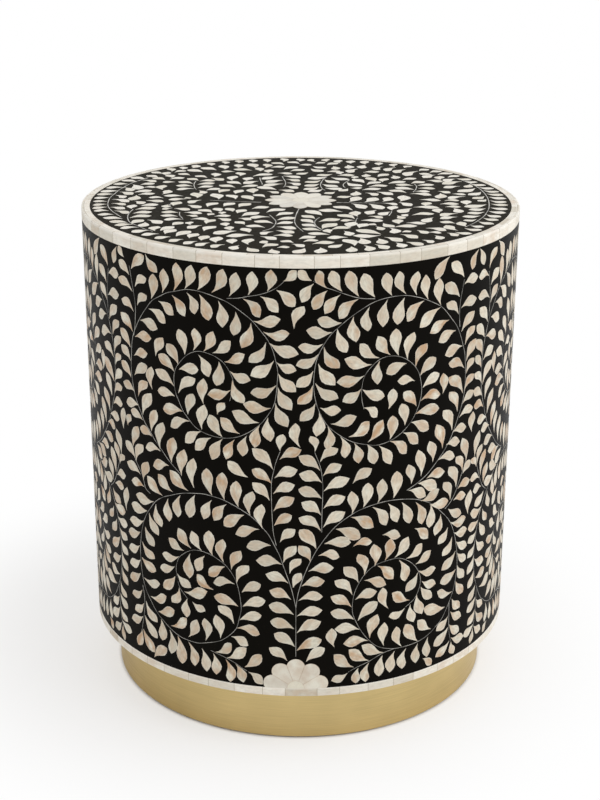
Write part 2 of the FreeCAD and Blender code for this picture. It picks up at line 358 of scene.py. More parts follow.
def petal_bone(name, pale, grey, stain, most):
    """Bleached bone, sawn to petals, sanded flush and waxed.

    It gives nearly white petals, some greyer and some tan up to this share, with a faint tan outline where
    glue crept in.
    """
    made, tree = new_material(name)
    place, tone = own_place(tree), tagged(tree, "tone")
    cloud = noise(tree, place, 11 * MM, 2)
    pore = noise(tree, place, 1.1 * MM, 3, (1, 3, 1), 0.6)
    greyer = maths(tree, "MULTIPLY", ranged(tree, cloud, 0.3, 0.7, 0.3), tone)
    tanned = maths(tree, "MULTIPLY", ranged(tree, cloud, 0.35, 0.65, 0.0, most), chance(tree, tone, 5.17))
    body = mixed(tree, tanned, mixed(tree, greyer, rgba(pale), rgba(grey)), rgba(stain))
    pored = mixed(tree, ranged(tree, pore, 0.45, 0.8, 0.0, 0.2), body, rgba(grey, 0.7))
    rim = ranged(tree, tagged(tree, "edge"), 0.2, 1.0, 0.0, 0.15 + most / 2)
    return dressed(made, {"Base Color": mixed(tree, rim, pored, rgba(stain)),
                          "Roughness": ranged(tree, cloud, 0.3, 0.7, 0.34, 0.46),
                          "Normal": bumped(tree, pore, 0.01 * MM), **WAXED_BONE})


def seam_filler(name, tint):
    """Bone dust in resin, wiped into the seams and sanded: dull grey-brown, with fine specks."""
    made, tree = new_material(name)
    speck = noise(tree, own_place(tree), 0.8 * MM, 2)
    return dressed(made, {"Base Color": mixed(tree, speck, rgba(tint, 0.75), rgba(tint, 1.2)), "Roughness": 0.6,
                          "Specular IOR Level": 0.3})


def inlaid_line(name, tint):
    """A thin strip of white metal, let into a sawn line and sanded flush: pale grey, dulled in places."""
    made, tree = new_material(name)
    dull = noise(tree, own_place(tree), 9 * MM, 3)
    return dressed(made, {"Base Color": mixed(tree, ranged(tree, dull, 0.35, 0.6), rgba(tint, 0.3), rgba(tint)),
                          "Roughness": ranged(tree, dull, 0.3, 0.7, 0.35, 0.5), "Specular IOR Level": 0.4})


def black_resin(name, tint, gloss):
    """Polyester resin with black pigment, poured round the bone, sanded and waxed.

    It gives an almost black ground with a soft satin sheen, barely cloudy, with hairline sanding marks. A lighter,
    browner tint with less gloss paints the sheen of light that the top shows.
    """
    made, tree = new_material(name)
    place = own_place(tree)
    cloud = noise(tree, place, 30 * MM, 3)
    scratch = noise(tree, place, 0.7 * MM, 2, (5, 5, 1))
    return dressed(made, {"Base Color": mixed(tree, cloud, rgba(tint, 0.75), rgba(tint, 1.35)),
                          "Roughness": ranged(tree, scratch, 0.3, 0.7, 0.36, 0.48),
                          "Normal": bumped(tree, scratch, 0.004 * MM), "IOR": 1.22, "Specular IOR Level": gloss})


def brushed_brass(name, tint):
    """Brass sheet, brushed along its length and lacquered.

    It gives a warm, pale yellow metal with fine level hairlines that draw each highlight out upwards.
    The real hairlines are about 0.1 mm apart; they are drawn 0.5 mm apart so that they show.
    """
    made, tree = new_material(name)
    place = own_place(tree)
    hairline = noise(tree, place, 0.5 * MM, 3, (90, 90, 1), 0.6)
    tarnish = noise(tree, place, 45 * MM, 2)
    body = mixed(tree, ranged(tree, tarnish, 0.35, 0.7, 0.0, 0.5), rgba(tint), rgba(tint, 0.82))
    lined = mixed(tree, ranged(tree, hairline, 0.4, 0.8, 0.0, 0.45), body, rgba(tint, 0.6))
    return dressed(made, {"Base Color": lined, "Roughness": ranged(tree, hairline, 0.3, 0.7, 0.3, 0.42),
                          "Normal": bumped(tree, hairline, 0.012 * MM), "Metallic": 1.0})


def sawn_wood(name, tint, ring, along):
    """Plain wood, planed and left raw: straight grain lines ring metres apart, drawn out along one axis."""
    made, tree = new_material(name)
    place = own_place(tree)
    grain = noise(tree, place, ring, 4, [14 if axis == along else 1 for axis in range(3)], 0.6)
    body = mixed(tree, noise(tree, place, 60 * MM, 2), rgba(tint, 0.85), rgba(tint, 1.1))
    grained = mixed(tree, ranged(tree, grain, 0.4, 0.7, 0.0, 0.5), body, rgba(tint, 0.5))
    return dressed(made, {"Base Color": grained, "Roughness": 0.62, "Normal": bumped(tree, grain, 0.05 * MM)})


def pressed_felt(name, tint):
    """Wool felt, pressed: dark, quite matt, with short matted fibres about 2 mm long."""
    made, tree = new_material(name)
    fibre = noise(tree, own_place(tree), 0.6 * MM, 4, (3, 1, 1), 0.7)
    return dressed(made, {"Base Color": mixed(tree, fibre, rgba(tint, 0.6), rgba(tint, 1.4)), "Roughness": 0.95,
                          "Sheen Weight": 0.3, "Normal": bumped(tree, fibre, 0.1 * MM)})


def plated_steel(name, dark, light):
    """Steel screws, zinc plated: bluish grey with a fine mottle."""
    made, tree = new_material(name)
    mottle = noise(tree, own_place(tree), 1.5 * MM, 3)
    return dressed(made, {"Base Color": mixed(tree, mottle, rgba(dark), rgba(light)),
                          "Roughness": ranged(tree, mottle, 0.3, 0.7, 0.3, 0.45), "Metallic": 1.0})


# ---- the one tree that sets chips into a strip or a disc, and the one that draws lines

def seated(tree, geometry, inputs, bent):
    """Bends a flat strip round the drum, or lifts a flat disc to its level.

    In a strip, X runs round the drum, Y is the height above the floor and Z is out from the drum radius.
    """
    place = add(tree, "GeometryNodeInputPosition")[0]
    x, y, z = add(tree, "ShaderNodeSeparateXYZ", {0: place})
    if bent:
        turn = maths(tree, "DIVIDE", x, inputs["Drum radius"])
        reach = maths(tree, "ADD", z, inputs["Drum radius"])
        sine = maths(tree, "SINE", turn)
        cosine = maths(tree, "COSINE", turn)
        across = maths(tree, "MULTIPLY", reach, sine)
        inward = maths(tree, "MULTIPLY", reach, cosine)
        back = maths(tree, "MULTIPLY", inward, -1.0)
        target = add(tree, "ShaderNodeCombineXYZ", {0: across, 1: back, 2: y})[0]
    else:
        level = maths(tree, "ADD", z, inputs["Top level"])
        target = add(tree, "ShaderNodeCombineXYZ", {0: x, 1: y, 2: level})[0]
    return add(tree, "GeometryNodeSetPosition", {"Geometry": geometry, "Position": target})[0]


def finished(tree, geometry, inputs):
    """Ends a tree: its material goes on, and the mesh goes out."""
    coated = add(tree, "GeometryNodeSetMaterial", {"Geometry": geometry, "Material": inputs["Material"]})[0]
    add(tree, "NodeGroupOutput", {0: coated})


def named(tree, label, kind="FLOAT"):
    """A named attribute as a field."""
    return add(tree, "GeometryNodeInputNamedAttribute", {"Name": label}, data_type=kind)[0]


def chip_tree(bent):
    """Sets one of the chips on each point, turned and sized by the point, and seats them in the drum or its top."""
    tree, inputs = new_tree("Inlaid chips", [("Chips", "Collection"), ("Drum radius", "Float"),
                                             ("Top level", "Float"), ("Material", "Material")])
    blanks = add(tree, "GeometryNodeCollectionInfo", {"Collection": inputs["Chips"], "Separate Children": True,
                                                      "Reset Children": True})[0]
    turned = add(tree, "ShaderNodeCombineXYZ", {2: named(tree, "turn")})[0]
    placed = add(tree, "GeometryNodeInstanceOnPoints", {
        "Points": inputs["Geometry"], "Instance": blanks, "Pick Instance": True,
        "Instance Index": named(tree, "kind", "INT"), "Rotation": turned,
        "Scale": named(tree, "size", "FLOAT_VECTOR")})[0]
    solid = add(tree, "GeometryNodeRealizeInstances", {0: placed})[0]
    flat = add(tree, "ShaderNodeVectorMath", {0: named(tree, "share", "FLOAT_VECTOR"),
                                              1: named(tree, "size", "FLOAT_VECTOR")}, operation="MULTIPLY")[0]
    shift = add(tree, "ShaderNodeCombineXYZ", {2: named(tree, "tone")})[0]
    grain = add(tree, "ShaderNodeVectorMath", {0: flat, 1: shift}, operation="ADD")[0]
    marked = add(tree, "GeometryNodeStoreNamedAttribute", {"Geometry": solid, "Name": "grain", "Value": grain},
                 data_type="FLOAT_VECTOR", domain="POINT")[0]
    finished(tree, seated(tree, marked, inputs, bent), inputs)
    return tree


def line_tree(bent):
    """Draws a thin flat strip along each run of edges, and seats it in the drum or its top."""
    tree, inputs = new_tree("Inlaid lines", [("Line width", "Float"), ("Line taper", "Float"),
                                             ("Line depth", "Float"), ("Line face", "Float"),
                                             ("Drum radius", "Float"), ("Top level", "Float"),
                                             ("Material", "Material")])
    runs = add(tree, "GeometryNodeMeshToCurve", {0: inputs["Geometry"]})[0]
    even = add(tree, "GeometryNodeResampleCurve", {"Curve": runs, "Length": LINE_STEP}, mode="LENGTH")[0]
    level = add(tree, "GeometryNodeSetCurveNormal", {0: even}, mode="Z_UP")[0]
    section = add(tree, "GeometryNodeCurvePrimitiveQuadrilateral", {
        "Width": inputs["Line width"], "Height": inputs["Line depth"]}, mode="RECTANGLE")[0]
    along = add(tree, "GeometryNodeSplineParameter")["Factor"]
    width = add(tree, "ShaderNodeMapRange", {"Value": along, "To Min": 1.0, "To Max": inputs["Line taper"]})[0]
    strip = add(tree, "GeometryNodeCurveToMesh", {"Curve": level, "Profile Curve": section, "Scale": width,
                                                  "Fill Caps": True})[0]
    half = maths(tree, "MULTIPLY", inputs["Line depth"], -0.5)
    face = maths(tree, "SUBTRACT", half, inputs["Line face"])
    drop = add(tree, "ShaderNodeCombineXYZ", {2: face})[0]
    lowered = add(tree, "GeometryNodeSetPosition", {"Geometry": strip, "Offset": drop})[0]
    solid = add(tree, "GeometryNodeRealizeInstances", {0: lowered})[0]
    finished(tree, seated(tree, solid, inputs, bent), inputs)
    return tree


# ---- the leaf pattern: vines in a plane, with their leaves

# Vines of the right half of a side panel, in millimetres: across from the panel's middle and up from the floor,
# for the size they were drawn at. Each is a name, the points of its line from root to tip, and its leaves on
# the left and on the right, each as its stalk and its tip. In all panels but the front one, the left half is
# their mirror image.
DRAWN_HALF, DRAWN_LOW, DRAWN_HIGH, DRAWN_LEAF = 175.0, 63.1, 448.4, 21.0
DRAWN_RIM, DRAWN_TOP_LEAF = 192.5, 19.0
ON_MIRROR = 6  # a line that stays this near to the mirror line comes once
WIDTH_POWER = 0.6  # how fast a leaf's width grows with its length
SIDE_VINES = [
    ("stem",
     [(0, 95), (0, 119), (0, 147)],
     [],
     [(0.6, 101, 22, 112), (0.6, 118.5, 22, 129), (0.6, 135, 22, 141)]),
    ("lower scroll",
     [(0, 143), (1.5, 155), (4, 165), (8, 177), (13, 189), (20, 202), (33, 219), (48, 230), (60, 235), (75, 238),
      (90, 238), (105, 235.5), (115, 232), (126, 226), (137, 216), (148, 204), (155, 190), (159, 175), (161, 160),
      (160, 145), (157, 132), (151, 120), (143, 108), (135, 102), (127, 97), (115, 93.5), (100, 92.5), (88, 93.5),
      (75, 98), (66, 106), (58, 117), (51, 132), (49.7, 141), (51, 153), (55, 163), (61, 172), (70, 179), (85, 182),
      (95, 181), (105, 175), (112, 167), (116, 157), (115, 147), (110, 138), (101, 132)],
     [(12.5, 187, 2.3, 203), (17.5, 199.5, 3, 218), (48, 230, 48, 250.5), (58, 235.5, 62, 258), (71, 237.5, 76, 260),
      (86, 240, 88, 265), (114, 232, 134.5, 238), (124, 226, 146, 224), (146, 216, 163, 206), (149, 202, 171, 200),
      (155, 190, 174.3, 187), (158.5, 180, 174, 172), (161, 168, 173.5, 157.5), (161.5, 156, 172.5, 141),
      (160, 140, 170.5, 125), (155.5, 124, 168, 112), (127, 95, 127, 75), (115.5, 92, 114.5, 72.5),
      (103, 90.5, 98, 70), (91, 91, 87, 70), (65, 106, 41.5, 106), (57, 118, 34.5, 120.5), (51.5, 129, 30, 137),
      (49.3, 141, 31, 152.5), (49.6, 153, 33, 169.5), (55, 164, 41, 181), (60, 171, 54.5, 192.5),
      (69.5, 178, 68, 200), (79, 182, 84.5, 202), (88.5, 183, 102, 201), (100, 179.5, 117, 190.5),
      (110, 172, 127, 180), (113, 165, 133.5, 162), (117.5, 153.5, 134.5, 146), (116.5, 148, 130, 133.5),
      (112.5, 142, 119.5, 121), (106, 133.5, 109, 114)],
     [(2, 150, 23, 154.5), (4.5, 164, 25, 169.5), (10.5, 178.5, 32, 181), (19, 193, 37.5, 191), (24, 204, 46, 202.5),
      (34, 217.5, 56.5, 208.5), (47, 227.5, 68, 215), (66, 235, 79, 215.5), (81, 236, 91, 217),
      (94.5, 235, 103.5, 213.5), (108.5, 232, 115, 210.5), (125, 225, 123, 204.5), (137, 213.5, 131.5, 195),
      (146.5, 198, 136, 184.5), (152.5, 187, 140, 171.5), (158, 171, 139.5, 158), (159.5, 152.5, 139, 144.5),
      (155.5, 131.5, 136.5, 136), (146.5, 119, 122.5, 126), (130, 102, 114, 115), (115, 94.5, 102, 115),
      (98, 93.5, 92, 115), (80, 98, 80, 121), (66.5, 108, 73, 130.5), (55, 127, 73.5, 142), (52, 148, 72, 152.5),
      (60, 166, 81, 160), (72, 178, 88, 163), (93, 180, 98, 158.5), (113, 163.5, 101, 147.5), (105, 138, 86, 148.5),
      (100.5, 131.5, 85, 126.5)]),
    ("bottom garland",
     [(90, 93), (78, 90.5), (66, 85), (55, 81), (47, 77)],
     [(79, 89, 76, 68.5), (66, 84, 63, 65.5), (56, 80, 54, 65)],
     [(80, 91.5, 60, 101.5), (66, 86, 48, 98.5), (52, 81.5, 34, 96), (46.5, 76.5, 32, 69.5)]),
    ("lower outer stem",
     [(152, 121), (152.5, 107), (153, 95), (155, 84), (157, 80)],
     [(154, 111.5, 170, 101), (153.5, 98.5, 167.5, 86.5), (156, 84, 174.3, 77.5), (157, 80, 161, 65)],
     [(151.5, 108, 136, 97), (152, 96.5, 133.5, 83), (154.5, 81.5, 137.5, 71.5)]),
    ("inner upright",
     [(22, 215), (22, 230), (22.5, 246), (22.5, 260), (20.5, 275), (15.5, 289)],
     [(21.5, 216, 3, 229.5), (21.6, 231, 4, 244.5), (21.6, 246.5, 2.5, 256.5), (22, 261, 2.5, 270.5),
      (20.5, 272, 2, 286), (15.5, 289.5, 11.5, 304)],
     [(23, 219.5, 42.5, 232.5), (22.8, 237, 42.5, 247), (23, 253, 45.5, 264), (22.5, 267, 38.5, 277.5),
      (19.8, 280, 34, 292)]),
    ("side sprig",
     [(142, 217), (149, 222), (155, 230), (159, 238), (163, 246), (167, 255), (169, 262)],
     [(148, 224, 139, 243), (155, 233.5, 145.5, 256), (163, 247, 154, 263.5), (168, 255, 160.5, 278)],
     [(152, 222, 169, 222), (157, 231.5, 174.5, 235.5), (164, 244.5, 174.5, 254)]),
    ("upper scroll",
     [(99, 245), (110, 250), (120, 256), (130, 265), (138, 273), (145, 282), (150, 291), (154, 300), (158, 309),
      (161, 320), (162, 332), (161.5, 345), (160, 357), (157, 366), (153, 376), (148, 385), (142, 392), (135, 400),
      (129, 405.5), (121, 410), (113, 414), (104, 417.5), (92, 420.5), (78, 420.5), (65, 418), (54, 412.5), (44, 406),
      (36, 399.5), (28, 392), (21.5, 382), (17, 372), (15, 362), (14.2, 350), (15, 340), (17, 331), (20.5, 322),
      (26, 313), (35, 304.5), (47, 297), (60, 293), (70, 291.5), (82, 294), (93, 300), (102, 309), (108, 320),
      (111, 332), (110, 343), (107, 352), (101, 360), (92, 366.5), (82, 369.5), (72, 368.5), (64, 363), (57.5, 355),
      (55, 345), (55, 335), (57, 325)],
     [(103, 250, 100, 269), (113, 255, 109, 279), (125.5, 266, 121, 286), (136, 276, 127, 299),
      (147, 290, 135, 310.5), (153, 306, 141.5, 325), (159.5, 321, 141, 340), (160, 344, 140, 353),
      (156.5, 365, 134.5, 361.5), (147.5, 381, 128.5, 375), (139, 392, 119, 384), (128.5, 405, 108, 391.5),
      (111, 413.5, 95, 397.5), (91.5, 419, 84.5, 396), (76, 419, 72, 396), (60.5, 414.5, 60, 393),
      (47, 407, 49.5, 384.5), (33.5, 397, 41, 377), (22.5, 382, 36, 363), (17.8, 368, 32, 347.5),
      (15.5, 351, 34, 336), (20, 329, 38.5, 326), (28.5, 314, 50, 319.5), (44, 301.5, 61.5, 315.5),
      (61, 295, 73.5, 313), (81, 295, 83, 317), (95, 305.5, 90, 326), (106, 321, 93, 336), (104, 344, 86, 347),
      (95.5, 361, 76, 354), (70.5, 367, 69, 346), (55.5, 343, 75, 335.5)],
     [(100, 244.5, 118.5, 234.5), (110, 249, 131, 241.5), (119, 252, 139.5, 254), (131, 266, 151.5, 263),
      (140, 278, 158, 277), (147.5, 288, 166, 288), (155.5, 299.5, 174, 304), (159, 311, 174.3, 320),
      (161, 323, 174.3, 335), (163, 338, 174.3, 350), (162, 349.5, 174, 367), (159.5, 365, 173, 379.5),
      (128.5, 406.5, 127, 430.5), (115, 413.5, 112.5, 434.5), (103, 419, 102.5, 440.5), (93, 421.5, 85.5, 441.5),
      (80, 421.5, 73.5, 440.5), (37, 402, 17, 406), (29.5, 394.5, 7, 397), (22, 384.5, 2, 382.5),
      (18.3, 376, 0.8, 366), (14, 361.5, 1, 347.5), (13.8, 349, 0.8, 332), (16, 333, 2.5, 316.5),
      (19, 324.5, 17.5, 303.5), (26, 312.5, 25.5, 292.5), (37, 302.5, 41, 282.5), (49, 296, 53, 277.5),
      (60.5, 293, 68, 274.5), (71, 291, 83.5, 273.5), (81, 293.5, 97, 280), (93.5, 299.5, 109, 286.5),
      (101, 307.5, 118.5, 298), (105, 314, 129, 314.5), (110, 325, 131.5, 327.5), (111.5, 336.5, 130, 346),
      (109, 348, 126, 362), (104, 356, 115, 374.5), (96, 364, 101, 387.5), (87.5, 369, 84, 393),
      (80, 370.5, 68, 388.5), (70, 369, 52, 382.5), (63.5, 364, 40.5, 369.5), (57, 355, 34, 350.5),
      (54.5, 343.5, 37, 333), (56.5, 326.5, 69, 316.5)]),
    ("upper sprig",
     [(152, 383), (151, 395), (151.5, 405), (153.5, 415), (155.5, 424)],
     [(150, 394.5, 135, 408), (150.5, 410, 133, 423.5), (155, 426, 139, 441)],
     [(154, 378, 170, 393.5), (152.5, 399.5, 173.5, 404.5), (155.5, 419.5, 174.3, 422)]),
    ("top garland",
     [(65, 420.5), (52, 422), (40, 426), (30, 430), (22, 433), (13, 438)],
     [(51, 421.5, 34.5, 405.5), (36, 426, 23, 411), (25, 430, 13, 414), (14, 436, 4, 420)],
     [(65, 421.5, 54, 443.5), (51, 423.5, 42.5, 445), (37, 428.5, 28, 447), (25, 431.5, 18, 447),
      (12.5, 438.5, 1.5, 447)]),
]
# Single leaves between the vines, the same way; then those on a mirror line, which come once.
SIDE_LOOSE = ("loose leaves", [],
    [(134, 326.5, 134, 345.5), (79, 322.5, 83, 341.5), (137, 447.5, 122, 430.5), (174, 447, 166, 431)],
    [(49.5, 199.5, 66.5, 201.5), (76, 207, 94, 204), (108, 207, 123, 194), (83.5, 134.5, 79.5, 155.5),
     (34, 103, 31, 122.5), (48, 258.5, 64, 271), (121.5, 74.5, 131.5, 65.5), (8.7, 90, 25, 102)])
SIDE_ONCE = [(-2.5, 162.5, 4, 176), (-5.5, 175.5, 4.5, 190), (3, 293.5, 0, 314.5), (-2, 397.5, 6.5, 416),
             (174, 202, 176, 225), (174.5, 281, 175.5, 301)]
# The left half of the front panel, laid out like the right one but not its mirror image.
FRONT_LEFT = [
    ("upper sprig",
     [(-155.5, 372.5), (-153.5, 381), (-152.5, 390), (-152, 399.5), (-153.5, 410), (-155.5, 419), (-157.5, 428.5),
      (-158.5, 433.5)],
     [(-156.5, 375, -173.5, 389), (-154.5, 394, -172, 402.5), (-155, 411, -174, 419), (-159, 425, -173.5, 435)],
     [(-149.5, 400.5, -136.5, 410), (-151.5, 416.5, -136.5, 427), (-156, 431, -140, 445.5)]),
    ("upper scroll",
     [(-104, 256), (-110.5, 261.5), (-118.5, 268), (-126, 276), (-132.5, 282), (-138, 288.5), (-144.5, 295.5),
      (-149, 303.5), (-153.5, 311.5), (-157, 319.5), (-159.5, 331), (-160.5, 343), (-159.5, 354.5), (-158.5, 364),
      (-156.5, 372), (-152, 381), (-146.5, 390), (-139.5, 399), (-131.5, 408), (-123.5, 413), (-114.5, 418),
      (-106.5, 420.5), (-98.5, 423), (-93.5, 424), (-84, 424), (-75, 422.5), (-65.5, 420), (-58, 417.5), (-50, 413),
      (-42, 407.5), (-37, 403.5), (-30, 395.5), (-23.5, 387), (-19.5, 378.5), (-17, 369), (-15.5, 360), (-16, 349.5),
      (-17, 339), (-19, 330), (-23.5, 322), (-29, 314.5), (-35.5, 308.5), (-42, 304), (-50, 300), (-58, 298),
      (-64.5, 297.5), (-72.5, 298), (-81.5, 300), (-89.5, 304), (-96, 310.5), (-101, 316.5), (-105, 324.5),
      (-108, 331), (-109.5, 340.5), (-109, 348), (-106.5, 354.5), (-101, 361.5), (-96, 366.5), (-90.5, 370),
      (-83, 372), (-75, 371), (-68.5, 369), (-62, 365), (-58, 360), (-54.5, 353.5), (-53, 347), (-54.5, 339),
      (-56.5, 331.5)],
     [(-117, 262, -135.5, 257), (-126, 273.5, -143.5, 272.5), (-136, 284.5, -152, 289.5), (-147, 297, -162.5, 302.5),
      (-152, 309.5, -169, 308), (-156.5, 320.5, -173.5, 325), (-161, 333, -174.5, 345), (-161, 348, -174.5, 359.5),
      (-160.5, 360, -174, 374), (-132, 409.5, -130, 432.5), (-119.5, 417, -118, 438), (-107.5, 420.5, -105, 444.5),
      (-96.5, 424, -89.5, 446), (-84, 425, -76.5, 445), (-71.5, 424, -61, 445), (-35.5, 403, -12.5, 405.5),
      (-27.5, 394.5, -6.5, 394.5), (-22.5, 385, 1.5, 376.5), (-16.5, 368.5, 0, 362), (-15, 359, -1, 343),
      (-15.5, 347, -2.5, 328), (-17.5, 333, -6.5, 311), (-23.5, 320, -20.5, 299.5), (-31, 312.5, -35, 292),
      (-42, 302, -46.5, 282.5), (-52.5, 297.5, -60, 279), (-63.5, 297, -73.5, 277), (-73.5, 296.5, -88.5, 282.5),
      (-83, 300.5, -99.5, 288.5), (-94, 308, -113.5, 300), (-101, 315.5, -122.5, 314), (-109, 328, -127, 328.5),
      (-109, 336.5, -129, 346.5), (-109, 350, -125, 362.5), (-104.5, 357, -117, 374.5), (-97.5, 366.5, -103.5, 388),
      (-89.5, 371.5, -87.5, 392), (-79.5, 372.5, -71, 392), (-71.5, 372, -54.5, 384), (-61, 365.5, -44, 373.5),
      (-56, 358, -38, 351), (-54, 350.5, -43.5, 331)],
     [(-104, 255.5, -100.5, 280), (-114, 265.5, -112, 289.5), (-126.5, 275, -122, 300),
      (-136.5, 289.5, -129.5, 310.5), (-147, 302, -135.5, 323), (-152, 318, -139.5, 333.5),
      (-156, 336.5, -139, 348.5), (-156, 354, -139, 361.5), (-154, 371.5, -133, 374), (-146.5, 388, -125.5, 384.5),
      (-135.5, 400.5, -116.5, 391), (-124, 409.5, -107, 399.5), (-109.5, 417, -96, 401), (-94.5, 421.5, -86.5, 403),
      (-82.5, 421.5, -74.5, 399.5), (-65.5, 418, -63, 395), (-50.5, 410, -52, 389.5), (-37.5, 401.5, -45, 379),
      (-25, 385.5, -40, 368.5), (-18.5, 370, -38, 355), (-16.5, 348.5, -38, 342), (-21, 328, -44, 330),
      (-31, 314.5, -54, 322), (-48, 303, -64.5, 316), (-63.5, 298.5, -74, 317.5), (-82.5, 302, -81, 325),
      (-96, 313.5, -89.5, 333), (-105, 331, -88, 347), (-104, 353, -83.5, 355), (-84.5, 369, -74.5, 350),
      (-65.5, 365.5, -67, 344), (-55.5, 341.5, -75.5, 335.5)]),
    ("top garland",
     [(-58, 420.5), (-48.5, 421.5), (-40.5, 423.5), (-33, 425), (-25, 427.5), (-17, 431.5), (-10.5, 437)],
     [(-56, 422, -49, 443), (-40, 424.5, -35, 445), (-24, 428.5, -19.5, 448), (-11, 437.5, 0, 446.5)],
     [(-44.5, 421.5, -30, 406.5), (-30, 424.5, -14.5, 411.5), (-16.5, 430, -0.5, 416)]),
    ("inner upright",
     [(-17, 202.5), (-19.5, 214.5), (-20.5, 229.5), (-21, 244), (-21, 260), (-19.5, 269.5), (-17, 280),
      (-13.5, 289.5)],
     [(-19.5, 272.5, -37, 289.5), (-21, 260, -37.5, 271.5), (-22.5, 244, -38, 258)],
     [(-14, 282, 4, 291), (-18.5, 265, 1.5, 273.5), (-19.5, 250.5, -0.5, 258), (-19.5, 234.5, -1.5, 247),
      (-18.5, 221, -3.5, 231.5), (-14, 205.5, -0.5, 218)]),
    ("side sprig",
     [(-140.5, 229.5), (-146.5, 233), (-149, 241), (-152, 247), (-160.5, 259), (-162, 268)],
     [(-148, 233.5, -166, 234), (-152.5, 244.5, -172.5, 250.5), (-159.5, 258, -173.5, 269.5)],
     [(-149, 239.5, -141, 259.5), (-158.5, 255, -147, 274.5), (-162, 268, -154.5, 289.5)]),
    ("lower scroll",
     [(0, 143.5), (-2, 153), (-4, 161.5), (-7, 171.5), (-10.5, 182), (-14, 192.5), (-18, 201), (-23, 211),
      (-28.5, 218), (-38, 227.5), (-48.5, 234), (-58, 238.5), (-65.5, 241), (-75, 242.5), (-83, 243), (-90.5, 242),
      (-101, 240), (-109, 237.5), (-117, 234), (-125, 230.5), (-134, 224), (-140.5, 216), (-146, 208.5),
      (-150, 200.5), (-153.5, 190), (-155.5, 179.5), (-156.5, 171.5), (-156.5, 159.5), (-155.5, 150.5), (-153.5, 140),
      (-150, 131), (-143, 121.5), (-136.5, 113.5), (-127.5, 107), (-119.5, 102), (-110.5, 98), (-101, 96.5),
      (-90.5, 96.5), (-81.5, 99), (-71, 102.5), (-64.5, 106.5), (-58, 112.5), (-53, 119), (-50.5, 128),
      (-48.5, 137.5), (-49, 146.5), (-50.5, 156), (-53, 165), (-56.5, 171.5), (-61, 177.5), (-67, 182), (-75, 186),
      (-83, 188), (-90.5, 188), (-96, 186.5), (-102.5, 182.5), (-108.5, 177), (-111.5, 170), (-112.5, 165),
      (-111.5, 157), (-109.5, 148), (-105, 142.5), (-101, 138.5)],
     [(-4, 151, -24, 159.5), (-6.5, 166.5, -26, 175), (-12, 184.5, -35, 187.5), (-21.5, 202, -43, 199),
      (-31.5, 216.5, -51.5, 209.5), (-44.5, 229, -63, 216), (-60.5, 237, -72.5, 220), (-74.5, 239, -83, 220),
      (-90.5, 240.5, -96, 218.5), (-105.5, 237.5, -108, 215), (-119.5, 230.5, -119.5, 209.5),
      (-134, 221.5, -127, 201.5), (-143, 210.5, -132.5, 191.5), (-149, 195, -138, 179.5), (-153.5, 179, -138, 167),
      (-155, 163, -137, 154), (-153, 143.5, -133, 143.5), (-144.5, 127.5, -125.5, 133), (-135, 115.5, -116.5, 123),
      (-120, 105.5, -103, 118), (-101, 99.5, -91.5, 118.5), (-83, 100.5, -82.5, 122.5), (-68.5, 106, -71.5, 128),
      (-55, 122.5, -69, 139.5), (-51, 140.5, -73, 147), (-54, 162, -74, 160), (-63, 177.5, -79, 166.5),
      (-82, 184.5, -90, 168.5), (-97, 183.5, -98, 160), (-111.5, 160.5, -97, 151), (-104, 144.5, -80, 149.5),
      (-101, 138.5, -101.5, 119.5), (-95.5, 136.5, -82.5, 130)],
     [(-11, 186, -0.5, 203), (-28.5, 217.5, -28.5, 240), (-39.5, 228.5, -38, 251), (-50, 235.5, -51, 259),
      (-62.5, 240.5, -65.5, 265.5), (-74, 243, -79.5, 269), (-91.5, 246.5, -90.5, 273), (-97.5, 243, -116.5, 257.5),
      (-114, 238, -130.5, 251), (-125.5, 231.5, -143, 244.5), (-136, 223, -158.5, 221), (-145, 211.5, -167.5, 211.5),
      (-150, 200.5, -171, 195), (-155.5, 187.5, -173.5, 181), (-157, 174, -174, 165.5), (-156.5, 160, -173, 150),
      (-157, 146, -173, 135), (-155.5, 130, -171.5, 120), (-132, 108.5, -130.5, 87), (-121.5, 101.5, -122, 78.5),
      (-112.5, 98, -107, 72.5), (-101, 95.5, -95, 72.5), (-87, 92.5, -83, 70), (-58, 110, -42, 104),
      (-53, 119, -32, 116.5), (-50, 127.5, -30, 134), (-47, 141, -26.5, 149.5), (-48, 154.5, -31.5, 163.5),
      (-52.5, 163, -40.5, 181), (-57, 175, -48.5, 194.5), (-64, 181, -65.5, 204), (-74.5, 186, -79.5, 208.5),
      (-85, 188.5, -95, 206), (-95.5, 188.5, -110, 205.5), (-103.5, 184.5, -120.5, 193), (-108.5, 177.5, -128, 175),
      (-114, 166.5, -131, 159.5), (-113.5, 157, -127.5, 143), (-109.5, 147, -118.5, 130.5)]),
    ("stem",
     [],
     [(-2, 136.5, -23.5, 145.5), (-1.5, 122.5, -22.5, 128.5), (-1, 105, -19, 117)],
     []),
    ("lower outer stem",
     [(-155, 135), (-153, 125.5), (-153, 115), (-154.5, 104.5), (-157, 94), (-158.5, 87.5)],
     [(-151, 120.5, -136, 104), (-153.5, 105, -137.5, 88), (-156.5, 90, -140.5, 72)],
     [(-154, 117, -168, 105), (-155.5, 103, -173, 94), (-158, 88.5, -165, 70.5)]),
    ("bottom garland",
     [(-78, 92), (-71, 90), (-63, 87.5), (-55, 84), (-48.5, 80), (-43.5, 77.5)],
     [(-73.5, 91.5, -57.5, 104), (-62.5, 87.5, -42.5, 100.5), (-46, 81, -30.5, 95)],
     [(-75.5, 90, -71, 69.5), (-63.5, 86.5, -59, 65.5), (-54, 83, -46.5, 65), (-42.5, 77, -29.5, 65.5)]),
    ("loose leaves",
     [],
     [(-7.5, 90.5, -24, 103), (-137.5, 447.5, -125, 434.5)],
